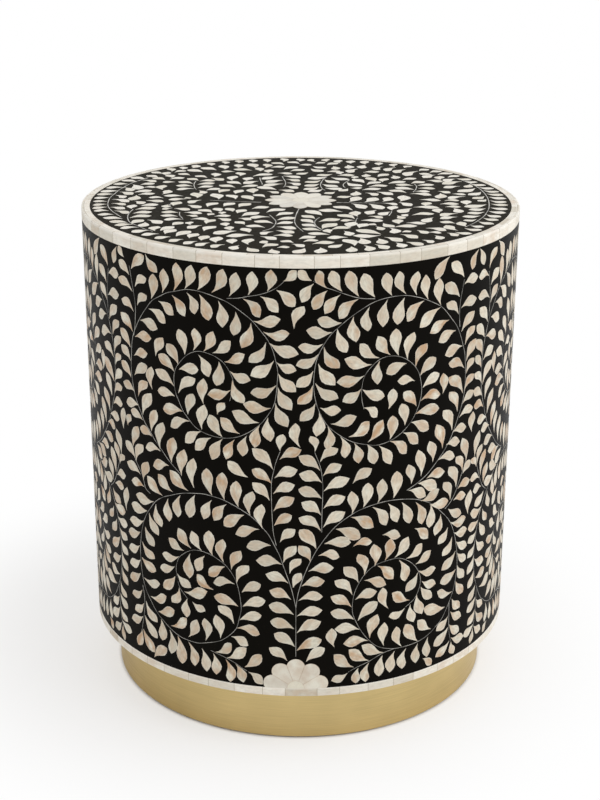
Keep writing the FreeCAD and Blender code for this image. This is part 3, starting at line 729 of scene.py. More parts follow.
     [(-68, 318, -61.5, 329.5), (-129, 359.5, -120, 377.5), (-134, 328.5, -134.5, 348.5), (-168.5, 286, -164, 298.5),
      (-13.5, 290, -11.5, 304.5), (-41, 264, -58.5, 277), (-165.5, 439.5, -173.5, 447.5), (-74, 153, -91.5, 164.5),
      (-142, 66, -126, 80), (-80.5, 325.5, -80.5, 348)]),
]
# Vines of the right half of the top, the same way: across from its centre and towards the back.
TOP_VINES = [
    ("front stem",
     [(-1, -34), (-3, -55), (-4, -78), (-2.5, -94), (1, -107), (4, -117), (5, -127)],
     [],
     []),
    ("right stem",
     [(33, -8), (45, -8.5), (62, -9), (76, -9), (90, -8)],
     [(44.5, -5, 55, 14.5), (58.5, -6, 69, 13), (75, -4, 82.5, 15), (91, -3, 97, 21)],
     [(46, -12, 58, -32), (62, -13, 73, -32.5), (76, -11, 88, -17), (89.5, -6, 101, -21)]),
    ("front curl",
     [(27, -121), (21, -112), (17, -103), (14.5, -95), (13.5, -85), (14.5, -75), (18, -65), (21, -59)],
     [(26.5, -127, 9, -123.5), (19.5, -113.5, 4, -106.5), (15, -101, 2.8, -90), (12.8, -87, 2.8, -74),
      (14, -71.5, 3, -58.5), (20, -58.5, 5, -40)],
     [(28, -121.5, 25, -108), (20, -107, 31.5, -86), (17, -82, 36, -72)]),
    ("front hook",
     [(46, -96), (49, -82), (50, -72), (52, -62)],
     [(48.5, -76, 36, -79), (48.5, -70.5, 33, -54.5)],
     [(44, -103, 49, -82), (51.5, -62, 50, -41.5)]),
    ("right hook",
     [(79, -58), (81.5, -46), (82, -39)],
     [(81, -43, 72, -57)],
     [(82.5, -38, 86, -19.5)]),
    ("side garland",
     [(150, 98), (158, 84), (163.5, 72), (168, 57), (171, 41), (172.5, 25), (173, 8), (172, -10), (170, -28),
      (167, -42), (163, -57), (157, -72), (150, -86), (143, -97), (136, -109), (130, -118)],
     [(151, 97, 165, 93), (157, 86, 170, 81), (162, 73, 176, 67), (168.5, 59, 182, 53), (171.5, 46, 186, 39.5),
      (173.5, 31, 189, 25), (174, 19, 189.5, 11), (174, 4, 189, -2.5), (173, -9.5, 188.5, -14.5),
      (171.5, -24.5, 186.5, -30), (169, -38.5, 183.5, -44.5), (165.5, -51, 179, -60), (161.5, -64, 175, -71),
      (156, -77, 168.5, -86), (148, -91.5, 160, -97), (142, -101, 156.5, -107), (133, -114.5, 147, -120.5)],
     [(165, 54.5, 148, 38), (169, 39, 155.5, 24.5), (170.5, 21, 158.5, 10.5), (171, 8.5, 162.5, 0),
      (169.5, -12, 149, -23.5), (167.5, -27.5, 151, -33.5), (165, -41.5, 149, -46.5), (160.5, -55.5, 144, -59.5),
      (155.5, -69, 142.5, -73), (145, -96, 140.5, -79), (136, -109.5, 127.5, -91.5)]),
    ("back curl",
     [(24, 101), (21, 92), (19.5, 82), (18.3, 72), (18, 62), (19.5, 50), (22.5, 42), (27, 36)],
     [(28, 99, 45, 88), (21.5, 88.5, 36.5, 74.5), (19.8, 68, 35, 57.5), (22, 52, 38.5, 47.5)],
     [(24, 100.5, 5, 91), (18.3, 86, 2.5, 75), (16.5, 69, 2.5, 59), (17, 55, 2.5, 43), (20, 46, 6.5, 35),
      (32, 35.5, 22, 27)]),
    ("back hook",
     [(46, 87), (42.5, 78), (40, 69), (40, 59), (43, 50)],
     [(43.5, 77, 57.5, 61.5), (46, 52, 58, 54.5)],
     [(44, 49.5, 35.5, 38.5)]),
    ("bough",
     [(105, 36), (108.5, 50), (109.5, 63), (107, 77)],
     [(99, 33, 83, 43), (106.5, 46.5, 89, 54.5), (107, 63.5, 90, 67.5)],
     [(107, 39, 121.5, 38.5), (110.5, 52, 126.5, 51), (110.5, 64.5, 126, 68), (105, 73, 119, 82)]),
]
# Single leaves of the top, the same way; then those along its middle line.
TOP_LOOSE = ("loose leaves", [],
    [(38, -44.5, 16.5, -38), (47.5, -38, 28.5, -23.5), (69, -37, 60, -53.5), (101, -29, 90, -47), (73, -85, 81, -100),
     (70, -124.5, 48, -110), (97, -51, 92.5, -60), (118, -64, 109.5, -81), (141, -48, 123.5, -57.5),
     (139.5, -61, 124, -68.5), (136, -85, 122.5, -79), (71, 82, 63.5, 99.5), (60, 75, 51, 92), (55.5, 139, 47, 120),
     (80, 150, 72.5, 134), (93.5, 147, 84, 129.5), (64, 158, 59, 141), (9.5, 151.5, 23.5, 142.5), (8, 138, 20.5, 125),
     (115, 130, 103, 108), (103, 138, 92.5, 121), (131, 113, 118, 97.5), (128, 112, 115.5, 119),
     (150, 95.5, 137.5, 83), (154.5, 83.5, 135, 70), (151, 62.5, 135, 54.5), (153, 19.5, 137, 10.5),
     (47, -164, 37.5, -141), (42, -136, 23, -138), (67, -93.5, 60, -88.5)],
    [(60.5, -60.5, 73.5, -67.5), (54, -76, 73, -76.5), (86, -57, 91, -69), (87, -88, 86.5, -71), (52, -103, 59, -87),
     (82, -99, 101, -94), (66, -97, 71, -110), (78, -101.5, 81, -120), (70, -127.5, 46.5, -130.5),
     (86.5, -124, 101, -136.5), (88, -117, 96, -113), (0.5, -142.5, 14.5, -133), (4.5, -151.5, 17.5, -145),
     (12, -158.5, 30.5, -150.5), (37, -157.5, 25.5, -169), (52, -138, 55.5, -158), (67, -138.5, 70, -156),
     (72.5, -134, 87.5, -147.5), (81, -152, 87, -167.5), (90, -150, 103, -160), (54.5, -161, 59, -178.5),
     (63.5, -158, 74, -173.5), (44, -165.5, 43.5, -183), (18.5, -169, 16.5, -188), (103.5, -142, 112, -152),
     (115, -127, 119, -141), (27.5, -110, 45, -101), (38.5, -113.5, 43.5, -129), (114, -20, 118, -4),
     (102, -25, 125, -27), (127, -12, 145, -10.5), (131, -23, 145, -22.5), (125, -47, 124, -30),
     (138.5, -28, 141.5, -45.5), (99.5, -55.5, 119, -49.5), (93, -84, 110, -86), (109, -102, 127.5, -110),
     (101, -110, 109, -121), (110, -117, 121.5, -118.5), (126, -117.5, 134, -129), (48, 19.5, 33.5, 12),
     (51, 39.5, 49.5, 20), (57, 43.5, 76, 49), (64, 57.5, 82, 63.5), (62, 66.5, 75.5, 79), (60, 32, 70.5, 20),
     (70.5, 36, 85.5, 24), (83, 72.5, 99.5, 82), (78, 79, 83.5, 95), (88.5, 109.5, 91.5, 93), (97.5, 89, 111.5, 97),
     (34.5, 106.5, 51.5, 109), (62, 116, 62, 101), (74, 103, 85, 116.5), (30, 114, 14, 108), (24, 123.5, 38, 127),
     (39, 112, 38.5, 125), (30, 151.5, 33, 134.5), (60, 122.5, 75.5, 126), (44.5, 158, 45.5, 141),
     (12, 162.5, 22, 170), (24, 157, 36, 167.5), (38, 166, 37.5, 182), (49, 164, 50.5, 180), (63, 162, 63.5, 178),
     (77, 157, 78.5, 171), (92.5, 150, 93, 164.5), (102, 144.5, 109.5, 155), (115.5, 131.5, 126.5, 140),
     (126, 123.5, 138, 132), (133, 113.5, 149, 120.5), (142, 102, 154.5, 109.5), (135, 90.5, 136.5, 107),
     (120.5, 87.5, 137, 81), (161, 71, 156.5, 57), (102, 29, 122, 22.5), (128.5, 40.5, 140.5, 33),
     (130, 33, 127.5, 11.5), (141, 29.5, 154, 27), (109.5, 5, 129.5, 1.5), (132, 1.5, 145.5, 2.5), (152, -14, 153, 4),
     (12.5, 172, 8, 186), (25, 172, 24.5, 187), (51, 94, 53, 104)])
TOP_ONCE = [(-4, 155, 9, 157.5), (6, 121.5, -6, 112), (-12.5, 125.5, 2.5, 133.5), (-5, -158.5, 5, -168),
            (6, -172, -3, -188)]

# The left half of the top was drawn too, and isn't the right one mirrored.
TOP_LEFT = [
    ("left garland",
     [(-150, 92), (-157, 80), (-162.5, 70), (-166.5, 58), (-169, 48), (-171.5, 39), (-174, 22), (-176, 5),
      (-175.7, -12), (-173.5, -29), (-168.5, -45), (-163, -57), (-157.5, -68), (-151, -81), (-147, -88)],
     [(-152.2, 84.8, -166.8, 93.2), (-158.7, 71.3, -174.3, 79.2), (-165.7, 62.5, -180.3, 61),
      (-168.7, 47.6, -184.3, 44.4), (-171.7, 33.6, -187.8, 29.4), (-174.7, 19, -189.3, 16.7),
      (-176.7, 4.5, -190.1, 2.7), (-176.8, -10.7, -189.8, -11), (-175.4, -20.9, -188.2, -26.1),
      (-173.6, -31.9, -186.2, -38.1), (-170.2, -46.5, -183.8, -47.5), (-164.2, -61, -179.3, -61.5),
      (-154.7, -76.1, -171.8, -72.4)],
     [(-161.7, 60.9, -152.8, 40.6), (-167.9, 48, -158.4, 32.7), (-170.3, 29.5, -157, 17.5),
      (-172.2, 15.6, -162.4, 3.5), (-173.8, -1.3, -157.7, -11.5), (-172.3, -17.9, -158.4, -23.8),
      (-171.6, -32.5, -157.7, -40.1), (-166.3, -45.8, -152.7, -55.7)]),
    ("left hooked vine",
     [(-149.7, -40), (-151.3, -52), (-151.5, -65), (-149.5, -79), (-146, -90), (-139, -100), (-131, -112),
      (-123, -120), (-117, -128)],
     [(-148.7, -89.8, -165.3, -85.9), (-143.4, -96.2, -159.3, -100.1), (-137.2, -105.9, -152.3, -111.5),
      (-127.7, -115.9, -141.8, -123.1), (-117.7, -127.9, -132.3, -133.6), (-106.8, -137.6, -119.8, -144.1),
      (-95.3, -145.8, -107.6, -153.7), (-83.3, -151.8, -93.5, -161.2), (-72.8, -156.3, -82.2, -167.7),
      (-59.8, -161.8, -70.2, -172.7), (-47.9, -164.2, -53.6, -178.3), (-41.2, -169.7, -31.3, -184.3),
      (-20.6, -174.2, -16.9, -189.3)],
     [(-147.7, -41.2, -129.7, -33.2), (-148.3, -56.2, -131.7, -47.5), (-149.3, -72.7, -131.2, -64.3),
      (-145.2, -93.3, -136.8, -78.7), (-132.8, -79.2, -118.3, -93.3), (-134, -87.7, -135, -103.3),
      (-122, -118.3, -122, -101.2), (-117.7, -117.3, -108.3, -102.7), (-112.7, -128.3, -105.3, -110.7),
      (-102.5, -136.3, -91.8, -118.2), (-91.1, -141.8, -84.9, -126.7), (-80.1, -149.3, -76.4, -132.4),
      (-67.5, -156.4, -66, -136.6), (-53.5, -159.3, -54.5, -142.7), (-40.3, -161.9, -38.7, -142.1),
      (-23.9, -158.7, -30.1, -148.8), (-28.8, -170.2, -15.2, -159.8), (-16.7, -171.1, -6.3, -168.4)]),
    ("left front curl",
     [(-30.5, -115.5), (-25, -109), (-22, -101), (-20.5, -91), (-20.3, -81), (-22, -73), (-24.5, -64), (-27, -57),
      (-31, -51)],
     [(-22.2, -89.2, -39.8, -80.8), (-28.7, -104.1, -45.3, -97.9), (-25.7, -65.9, -43.3, -69.6),
      (-21.3, -117.8, -31.2, -128.2), (-3.3, -155.1, -14.7, -149.4), (-37.6, -130.4, -59.9, -134.1)],
     [(-19, -114.3, -3.7, -122.7), (-19, -100.9, -2.7, -108.4), (-19.6, -91.7, -4.7, -83.8),
      (-19.3, -76.9, -4.7, -66.6), (-20.8, -61.8, -6.2, -48.2), (-29.8, -48.2, -13.2, -36.3),
      (-20.8, -132, -4.2, -132.5), (-31.8, -134.5, -18.2, -144.7)]),
    ("left stem",
     [(-36, -9), (-48, -8), (-62, -6), (-76, -3.5), (-89, 0)],
     [(-43.8, -1, -53.9, 17.4), (-60.1, 2.2, -68.5, 19.3), (-75.6, 1.5, -82.1, 25.5), (-90.8, -1.7, -102.2, -15.8)],
     [(-55.6, -29.3, -45.3, -12.7), (-69.2, -26.6, -59.8, -12), (-83.9, -28.6, -75.8, -11.7)]),
    ("left bough",
     [(-102.5, 78), (-103.2, 68), (-102.5, 57), (-100.5, 46), (-97, 38)],
     [(-99.8, 80.3, -111.7, 89.2), (-104.4, 66.8, -119.3, 75.7), (-103.6, 55.4, -119.8, 57.7),
      (-101.3, 45.1, -117.3, 39.4), (-95.9, 5.6, -100.4, 27.9)],
     [(-99.3, 77.4, -83.7, 82.1), (-99.8, 62.6, -84.7, 69.9), (-98.3, 48.1, -84, 57.7), (-96.6, 37.2, -90.9, 24.8)]),
    ("left twig",
     [(-118.5, -19), (-117.5, -28), (-114, -36)],
     [(-119.3, -20.3, -121, -32.2), (-115.3, -35.4, -123.7, -39.6)],
     [(-114.6, -25.8, -110.4, -9.2), (-113.3, -35.9, -98.7, -41.8)]),
    ("left front bough",
     [(-107, -50), (-106, -61), (-103, -71), (-101, -80)],
     [(-107.7, -52.3, -123.8, -50), (-107.2, -66, -122.8, -63.5), (-102, -76.5, -118.8, -78.5)],
     [(-103.3, -50.9, -87.2, -54.8), (-99.9, -62.2, -89.3, -65.1), (-95.3, -76, -79.2, -75.5)]),
    ("left back curl",
     [(-19.5, 101.5), (-18, 91), (-16.2, 80), (-15.5, 68), (-16.5, 57), (-19.5, 48)],
     [(-23.2, 100.2, -39.3, 87.2), (-18.4, 84.2, -34.3, 73.8), (-17.6, 68.2, -36.1, 59.8),
      (-23.3, 42.3, -41.9, 53.7)],
     [(-18.8, 103.6, -1.7, 96.2), (-15.6, 89.2, -1.7, 79.8), (-14.5, 73.2, -1.8, 62.6), (-16.1, 58.2, -2.7, 47.8),
      (-21.3, 42.1, -5.7, 34.7), (-32.2, 35.4, -21.6, 28.2)]),
    ("left back hook",
     [(-41.3, 95), (-40, 82), (-38, 69), (-38, 61.7)],
     [(-41.7, 79.2, -56.3, 66.8)],
     [(-57.3, 53, -42.7, 61.2)]),
    ("left loose leaves",
     [],
     [(-126.2, 5, -141.3, 7), (-129.6, 20.2, -125.4, 38), (-108.7, 13.7, -126.3, 14.3), (-105.2, 1.6, -121.3, -3.1),
      (-62.7, 50.8, -78.3, 61.2), (-33.1, 11.1, -44.7, 21.2), (-77.9, -51.2, -91.5, -39.8),
      (-70.9, -46.8, -77.6, -33), (-59.6, -46.3, -65.1, -33), (-41.6, -121.3, -48.7, -105.7),
      (-46.8, -93.7, -55.9, -82.5), (-52.6, -116.1, -72.4, -127.2), (-83.5, -97.3, -94.7, -108.7),
      (-18.8, 156.3, -31.8, 165.2), (-3.7, 161.3, -17.3, 169.7), (-36.7, 169.2, -38, 184.3),
      (-20.3, 172.2, -21, 187.3), (-4.3, 172.7, -5.5, 187.3), (-51.5, 166.7, -52, 181.3), (-66, 163.2, -66.5, 177.3),
      (-80, 157.7, -81, 171.3), (-92.5, 150.2, -95, 163.2), (-111.1, 137.7, -106.9, 153.8),
      (-120, 130.2, -121, 143.8), (-129.9, 121.2, -134.6, 136.3), (-138.3, 110.4, -149.7, 117.6),
      (-140.2, 92.8, -153.2, 101.7), (-98.7, 119.3, -115.3, 129.7), (-85.5, 128.3, -102.3, 140.7),
      (-77.9, 133.6, -82.1, 152.4), (-65, 140.2, -67, 157.3), (-47.9, 141.1, -54.1, 160.9), (-38, 141.1, -38, 160.4),
      (-42.4, 125.4, -46.1, 141), (-50.1, 127.9, -69.4, 134.1), (-67.2, 121, -80.2, 121.5),
      (-61.5, 102.2, -63.5, 120.3), (-86.3, 97.7, -87.7, 115.3), (-109.8, 103.9, -122.8, 111.1),
      (-92.3, 92.8, -104.7, 101.7), (-57.7, 65.1, -72.3, 76.7), (-121.8, 73, -134.2, 72),
      (-132.2, 83.3, -145.8, 91.7), (-126.6, 91.7, -131.6, 106.8)],
     [(-153.3, 16.4, -155.5, -4.4), (-152.2, -7.8, -142.5, -20.2), (-151, -38.3, -151, -22.2),
      (-144.6, -27.1, -129.2, -19.9), (-141.6, -5.6, -126, -9.8), (-151.8, 17.4, -136.2, 23.1),
      (-156.3, 27.8, -141.2, 37.7), (-150.2, 48.3, -138.3, 50.3), (-154.3, 59.9, -140.2, 66.1),
      (-154.8, 80.1, -140.2, 72.9), (-130.5, 39.1, -130.7, 58.9), (-107.6, 2.6, -101.6, 6.6),
      (-89.9, 38.4, -77.1, 46.1), (-76.5, 27.7, -67.8, 43), (-61.1, 24.2, -55.9, 41), (-43.7, 27.1, -45.7, 48.4),
      (-102.5, -22.3, -90.3, -33.4), (-55.5, -52.3, -47.9, -38.2), (-43.5, -35.2, -28.2, -26.3),
      (-51.3, -63.8, -36.2, -48.2), (-68.5, -56.2, -68.3, -46.8), (-80.4, -61.6, -76.4, -53.9),
      (-75.3, -65.5, -61, -63), (-53.7, -70.9, -42.3, -77.1), (-71.7, -71.3, -60.3, -80.7),
      (-80.1, -92.3, -73.4, -76.7), (-80.5, -117.3, -72.3, -100.2), (-93, -95.7, -93.7, -84.3),
      (-109.2, -98.2, -101.3, -86.3), (-61.5, -99.7, -63.3, -87.3), (-57, -114.3, -59, -100.2),
      (-134, 104.2, -133, 118.8), (-126.5, 117.1, -116.8, 125.7), (-32.3, 143.4, -18.7, 148.1),
      (-19, 134.1, -3.7, 146.2), (-24.8, 116.6, -10.2, 113.4), (-33, 117.4, -32.5, 133.3),
      (-48.9, 100.8, -30.6, 111.7), (-67, 81.1, -65, 102.4), (-53.1, 80.2, -49.9, 97.3), (-89, 92.2, -75.4, 81.3),
      (-128.3, 85.2, -114.7, 92.1)]),
]

# Leaf outlines in shares of length and width, from the stalk: the full side, then the hollow side. Both have
# the same number of points, so that they pair up into stations. Three shapes, as no two hand-cut leaves agree.
LEAF_OUTLINES = [
    ([(0.14, 0.16), (0.3, 0.38), (0.46, 0.56), (0.6, 0.63), (0.75, 0.53), (0.89, 0.28)],
     [(0.17, 0.03), (0.33, -0.07), (0.48, -0.25), (0.64, -0.37), (0.79, -0.32), (0.92, -0.15)]),
    ([(0.14, 0.2), (0.33, 0.46), (0.5, 0.67), (0.66, 0.67), (0.81, 0.52), (0.93, 0.24)],
     [(0.2, 0.08), (0.38, 0.03), (0.53, -0.11), (0.71, -0.27), (0.85, -0.23), (0.94, -0.11)]),
    ([(0.13, 0.17), (0.3, 0.37), (0.46, 0.53), (0.62, 0.59), (0.79, 0.52), (0.92, 0.29)],
     [(0.16, -0.01), (0.32, -0.12), (0.48, -0.28), (0.64, -0.39), (0.8, -0.34), (0.93, -0.18)]),
]
# A leaf's back is this share of its face.
LEAF_BACK = 0.96
# Hand cutting: shift in millimetres, turn, share of the drawn size with its spread and bounds, and how often
# each of the three shapes comes.
CUT_SHIFT, CUT_TURN = 0.12, math.radians(1.8)
CUT_SHARE, CUT_SPREAD, CUT_BOUNDS = 1.01, 0.03, (0.94, 1.06)
SHAPE_CHANCES = (0.5, 0.25, 0.25)


def smooth_path(points, step):
    """Points about step apart on a smooth curve through the given ones."""
    given = [np.array(p, float) for p in points]
    ends = [2 * given[0] - given[1]] + given + [2 * given[-1] - given[-2]]
    path = []
    for a, b, c, d in zip(ends, ends[1:], ends[2:], ends[3:]):
        count = max(1, int(np.hypot(*(c - b)) / step))
        for k in range(count):
            t = k / count
            path.append(0.5 * (2 * b + (c - a) * t + (2 * a - 5 * b + 4 * c - d) * t ** 2
                               + (3 * b - a - 3 * c + d) * t ** 3))
    path.append(given[-1])
    return np.array(path)


def laid_out(vines, once, across, up, base, leaf_length, leaf_width, drawn, mirrored=True):
    """Leaves and vine lines of a drawn pattern, by default with its mirror image, in millimetres.

    The pattern is stretched by across and up and lifted by base. Its usual leaf was drawn this long.
    """
    leaves, runs = [], []

    def lay(stalk_x, stalk_y, tip_x, tip_y, hand):
        right, rise = tip_x - stalk_x, tip_y - stalk_y
        size = math.hypot(right, rise)
        long = math.hypot(right * across, rise * up) * leaf_length / MM / drawn
        wide = leaf_width / MM * (size / drawn) ** WIDTH_POWER * math.hypot(rise * across, right * up) / size
        leaves.append((stalk_x * across, base + stalk_y * up, math.atan2(rise * up, right * across), long, wide,
                       hand))

    for _, points, on_left, on_right in vines:
        for rows, hand in ((on_left, -1), (on_right, 1)):
            for x0, y0, x1, y1 in rows:
                lay(x0, y0, x1, y1, hand)
                if mirrored:
                    lay(-x0, y0, -x1, y1, -hand)
        if points:
            run = smooth_path([(x * across, base + y * up) for x, y in points], PATH_STEP)
            runs.append(run)
            if mirrored and np.abs(run[:, 0]).max() >= ON_MIRROR:
                runs.append(run * (-1, 1))
    for row in once:
        lay(*row, 1)
    return leaves, runs


def plan_side(inlay, width, low, high, left=None):
    """Leaves and vines of one side panel, in millimetres from its middle, fitted to its width and height.

    Its left half is this one, or else the right half mirrored.
    """
    across, up = width / 2 / DRAWN_HALF, (high - low) / (DRAWN_HIGH - DRAWN_LOW)
    return laid_out([*SIDE_VINES, SIDE_LOOSE, *(left or [])], SIDE_ONCE, across, up, low - DRAWN_LOW * up,
                    inlay.leaf_length, inlay.leaf_width, DRAWN_LEAF, not left)


def plan_top(inlay, panels):
    """Leaves and vines of both halves of the top, in millimetres from its centre, fitted to the rim."""
    scale = panels.rim_inside / MM / DRAWN_RIM
    return laid_out([*TOP_VINES, TOP_LOOSE, *TOP_LEFT], TOP_ONCE, scale, scale, 0.0, inlay.top_leaf_length,
                    inlay.top_leaf_width, DRAWN_TOP_LEAF, False)


def leaf_points(name, leaves, depth, face, seed):
    """Points for the leaves, in metres, with the small unevenness of hand cutting."""
    rows = np.array(leaves)
    draw = np.random.default_rng(seed)
    count = len(rows)
    shifted = rows[:, :2] + draw.normal(0, CUT_SHIFT, (count, 2))
    places = np.column_stack([shifted, np.full(count, face)]) * (MM, MM, 1)
    turn = rows[:, 2] + draw.normal(0, CUT_TURN, count)
    cut = np.clip(draw.normal(CUT_SHARE, CUT_SPREAD, (count, 2)), *CUT_BOUNDS)
    size = np.column_stack([rows[:, 3:5] * cut * MM, np.full(count, depth)])
    shape = draw.choice(len(LEAF_OUTLINES), count, p=SHAPE_CHANCES)
    kind = np.where(rows[:, 5] > 0, 2 * shape, 2 * shape + 1).astype(int)
    return points_mesh(name, places, turn=turn, size=size, kind=kind, tone=draw.random(count))


def line_mesh(name, runs):
    """Edges along each run of points, in metres."""
    places, edges = [], []
    for run in runs:
        edges += [(len(places) + k, len(places) + k + 1) for k in range(len(run) - 1)]
        places += [(x * MM, y * MM, 0) for x, y in run]
    mesh = bpy.data.meshes.new(name)
    mesh.from_pydata(places, edges, [])
    return mesh


def blank(name, verts, faces, edge_share):
    """A chip, kept out of the scene, for the trees to place. It is smooth but for its sawn edges."""
    mesh = bpy.data.meshes.new(name)
    mesh.from_pydata(verts, [], faces)
    mesh.attributes.new("share", "FLOAT_VECTOR", "POINT").data.foreach_set(
        "vector", np.array(verts, np.float32).ravel())
    mesh.attributes.new("edge", "FLOAT", "POINT").data.foreach_set("value", np.array(edge_share, np.float32))
    work = bmesh.new()
    work.from_mesh(mesh)
    bmesh.ops.recalc_face_normals(work, faces=work.faces)
    for f in work.faces:
        f.smooth = True
    for e in work.edges:
        e.smooth = e.calc_face_angle(0) < SAWN_EDGE
    work.to_mesh(mesh)
    work.free()
    return bpy.data.objects.new(name, mesh)


def leaf_blank(name, outline, hand):
    """A leaf one unit long, wide and deep: face with a midrib row of points, sloped wall and flat back."""
    full, hollow = [[(x, hand * y) for x, y in side] for side in outline]
    middle = [((a + c) / 2, (b + d) / 2) for (a, b), (c, d) in zip(full, hollow)]
    rim = [(0, 0)] + full + [(1, 0)] + hollow[::-1]
    verts = [(x, y, 0) for x, y in rim + middle] + [(0.5 + (x - 0.5) * LEAF_BACK, y * LEAF_BACK, -1) for x, y in rim]
    stations = len(full)
    tip, spine, back = stations + 1, len(rim), len(rim) + len(middle)
    last = tip + stations
    faces = [(0, 1, spine), (0, spine, last), (tip, back - 1, stations), (tip, tip + 1, back - 1)]
    for k in range(stations - 1):
        faces.append((1 + k, 2 + k, spine + k + 1, spine + k))
        faces.append((spine + k, spine + k + 1, last - k - 1, last - k))
    faces += [(k, (k + 1) % spine, back + (k + 1) % spine, back + k) for k in range(spine)]
    faces.append(tuple(back + k for k in range(spine)))
    return blank(name, verts, faces, [1.0] * spine + [0.0] * stations + [1.0] * spine)


def leaf_blanks():
    """Each leaf shape for the right hand and the left, in the order that the points number them."""
    return [leaf_blank(f"leaf_{number}{side}", outline, hand) for number, outline in enumerate(LEAF_OUTLINES)
            for side, hand in (("a", 1), ("b", -1))]


def fan_blank(name, outline, rim, depth):
    """A flat chip with this outline in metres: a narrow rim round a face that fans out from its middle."""
    count = len(outline)
    middle = np.mean(outline, axis=0)
    far = max(np.hypot(*(np.array(p) - middle)) for p in outline)
    inner = [middle + (np.array(p) - middle) * (1 - rim / far) for p in outline]
    verts = [(x, y, 0) for x, y in outline] + [(x, y, 0) for x, y in inner] + [(*middle, 0)]
    verts += [(x, y, -depth) for x, y in outline]
    back = 2 * count + 1
    faces = []
    for k in range(count):
        after = (k + 1) % count
        faces += [(k, after, count + after, count + k), (count + k, count + after, 2 * count),
                  (k, back + k, back + after, after)]
    faces.append(tuple(back + k for k in range(count)))
    return blank(name, verts, faces, [1.0] * count + [0.0] * (count + 1) + [1.0] * count)


def petal_outline(tip, valley, shoulder, heading, half, hub, seam):
    """A petal's outline, from the hub out one side, round or to a point, and back. Half a flower ends at zero."""
    def polar(radius, angle):
        return np.array((radius * math.cos(heading + angle), radius * math.sin(heading + angle)))

    near, far = half - seam / 2 / (hub + seam), half - seam / 2 / valley
    bends = [polar(valley, -far), polar(tip, 0), polar(valley, far)]
    if shoulder:
        bulge = far * SHOULDER_SHARE
        bends = [bends[0], polar(shoulder, -bulge), bends[1], polar(shoulder, bulge), bends[2]]
    end = []
    for first, middle, last in zip(bends[::2], bends[1::2], bends[2::2]):
        end += arc_points(first, middle, last, SHOULDER_CUTS if shoulder else ROUND_CUTS)
    inner = [polar(hub + seam, near * t) for t in (1, 0, -1)]
    return end + [bends[-1]] + inner


def arc_points(first, middle, last, count):
    """Points on the circle through three given ones, from the first up to but without the last."""
    a, b, c = (complex(*p) for p in (first, middle, last))
    w = (c - a) / (b - a)
    centre = (b - a) * (w - abs(w) ** 2) / (2j * w.imag) + a
    radius = abs(a - centre)
    start = math.atan2((a - centre).imag, (a - centre).real)
    sweep = math.remainder(math.atan2((c - centre).imag, (c - centre).real) - start, 2 * math.pi)
    sign = 1 if ((b - a) * (c - b).conjugate()).imag < 0 else -1
    if sweep * sign < 0:
        sweep += sign * 2 * math.pi
    return [np.array((centre.real + radius * math.cos(start + sweep * k / count),
                      centre.imag + radius * math.sin(start + sweep * k / count))) for k in range(count)]


def bar_blank(name, section, cuts, eased):
    """A bar one unit long along X with this section in Y and Z, its ends eased, cut across to follow a bend.

    Its upper outer corner counts as an edge, which is painted paler as a highlight of the rounded edge.
    """
    middle = np.mean(section, axis=0)
    inset = [tuple(middle + (np.array(p) - middle) * (1 - eased / np.abs(np.array(p) - middle).max()))
             for p in section]
    rows = [(0.0, inset)] + [(k / cuts, section) for k in range(1, cuts)] + [(1.0, inset)]
    rows[1:1] = [(eased / USUAL_TILE, section)]
    rows[-1:-1] = [(1 - eased / USUAL_TILE, section)]
    count = len(section)
    verts = [(x, y, z) for x, outline in rows for y, z in outline]
    faces = [(a * count + k, a * count + (k + 1) % count, (a + 1) * count + (k + 1) % count, (a + 1) * count + k)
             for a in range(len(rows) - 1) for k in range(count)]
    faces += [tuple(range(count)), tuple((len(rows) - 1) * count + k for k in range(count))]
    low, high = np.min(section, axis=0), np.max(section, axis=0)
    # The upper outer corners are marked for the paler colour that paints the highlight of the rounded edge.
    worn = [1.0 if np.all(np.array(p) > low + HIGHLIT_FROM * (high - low)) else 0.0 for p in section]
    return blank(name, verts, faces, worn * len(rows))


def seam_angles(tiles, shift):
    """Angle of each seam of a ring from the front, in radians, by the frame's own rule for uneven tiles."""
    step = 2 * math.pi / tiles.count
    at = [k + shift for k in range(tiles.count)]
    return [step * (a + tiles.uneven_share * math.sin(tiles.uneven_turn * a)) for a in at]


# name, frame node, seam shift, section inside and outside radius, bottom and top, in millimetres
TILE_RINGS = [
    ("rim_edge_tile_ring", "rim_edge_tiles", 0.5, 197.6, 200.0, 448.4, 458.0),
    ("rim_top_tile_ring", "rim_top_tiles", 0.2, 192.5, 197.5, 455.5, 458.0),
    ("lower_band_tile_ring", "lower_band_tiles", 0.7, 197.6, 200.0, 55.4, 63.1),
]


def tile_section(node, inside, outside, bottom, top, eased, rounded):
    """A tile's section as height and depth from the drum radius, in metres, with its outer corners eased."""
    low, high, back, front = bottom * MM, top * MM, (inside - DRUM) * MM, (outside - DRUM) * MM
    if node == "rim_top_tiles":
        return [(low, back), (low, front), (high - eased, front), (high, front - eased), (high, back + eased),
                (high - eased, back)]
    corner = rounded if node == "rim_edge_tiles" else eased
    turns = [math.radians(a) for a in ((0, 22.5, 45, 67.5, 90) if corner > eased else (0, 90))]
    round_top = [(high - corner + corner * math.sin(t), front - corner + corner * math.cos(t)) for t in turns]
    return [(low, back), (low, front - eased), (low + eased, front)] + round_top + [(high, back)]


# ---- operators, one for each group of pieces

def settings(context, *names):
    """These groups of the scene's settings."""
    return [getattr(context.scene, "stool_" + name) for name in names]


# The camera that was fitted to the photograph, in its pixels.
FOCAL_PIXELS, PICTURE_HEIGHT, SENSOR = 1589.93, 800, 36.0
# Each lamp's name, setting, diameter and place, and the point they face, in metres.
LAMPS = [("key lamp", "key_power", 1.6, (1.2, -1.1, 2.3)), ("side lamp", "side_power", 1.2, (1.95, 0.0, 0.9))]
LAMPS_FACE = Vector((0, 0, 0.25))
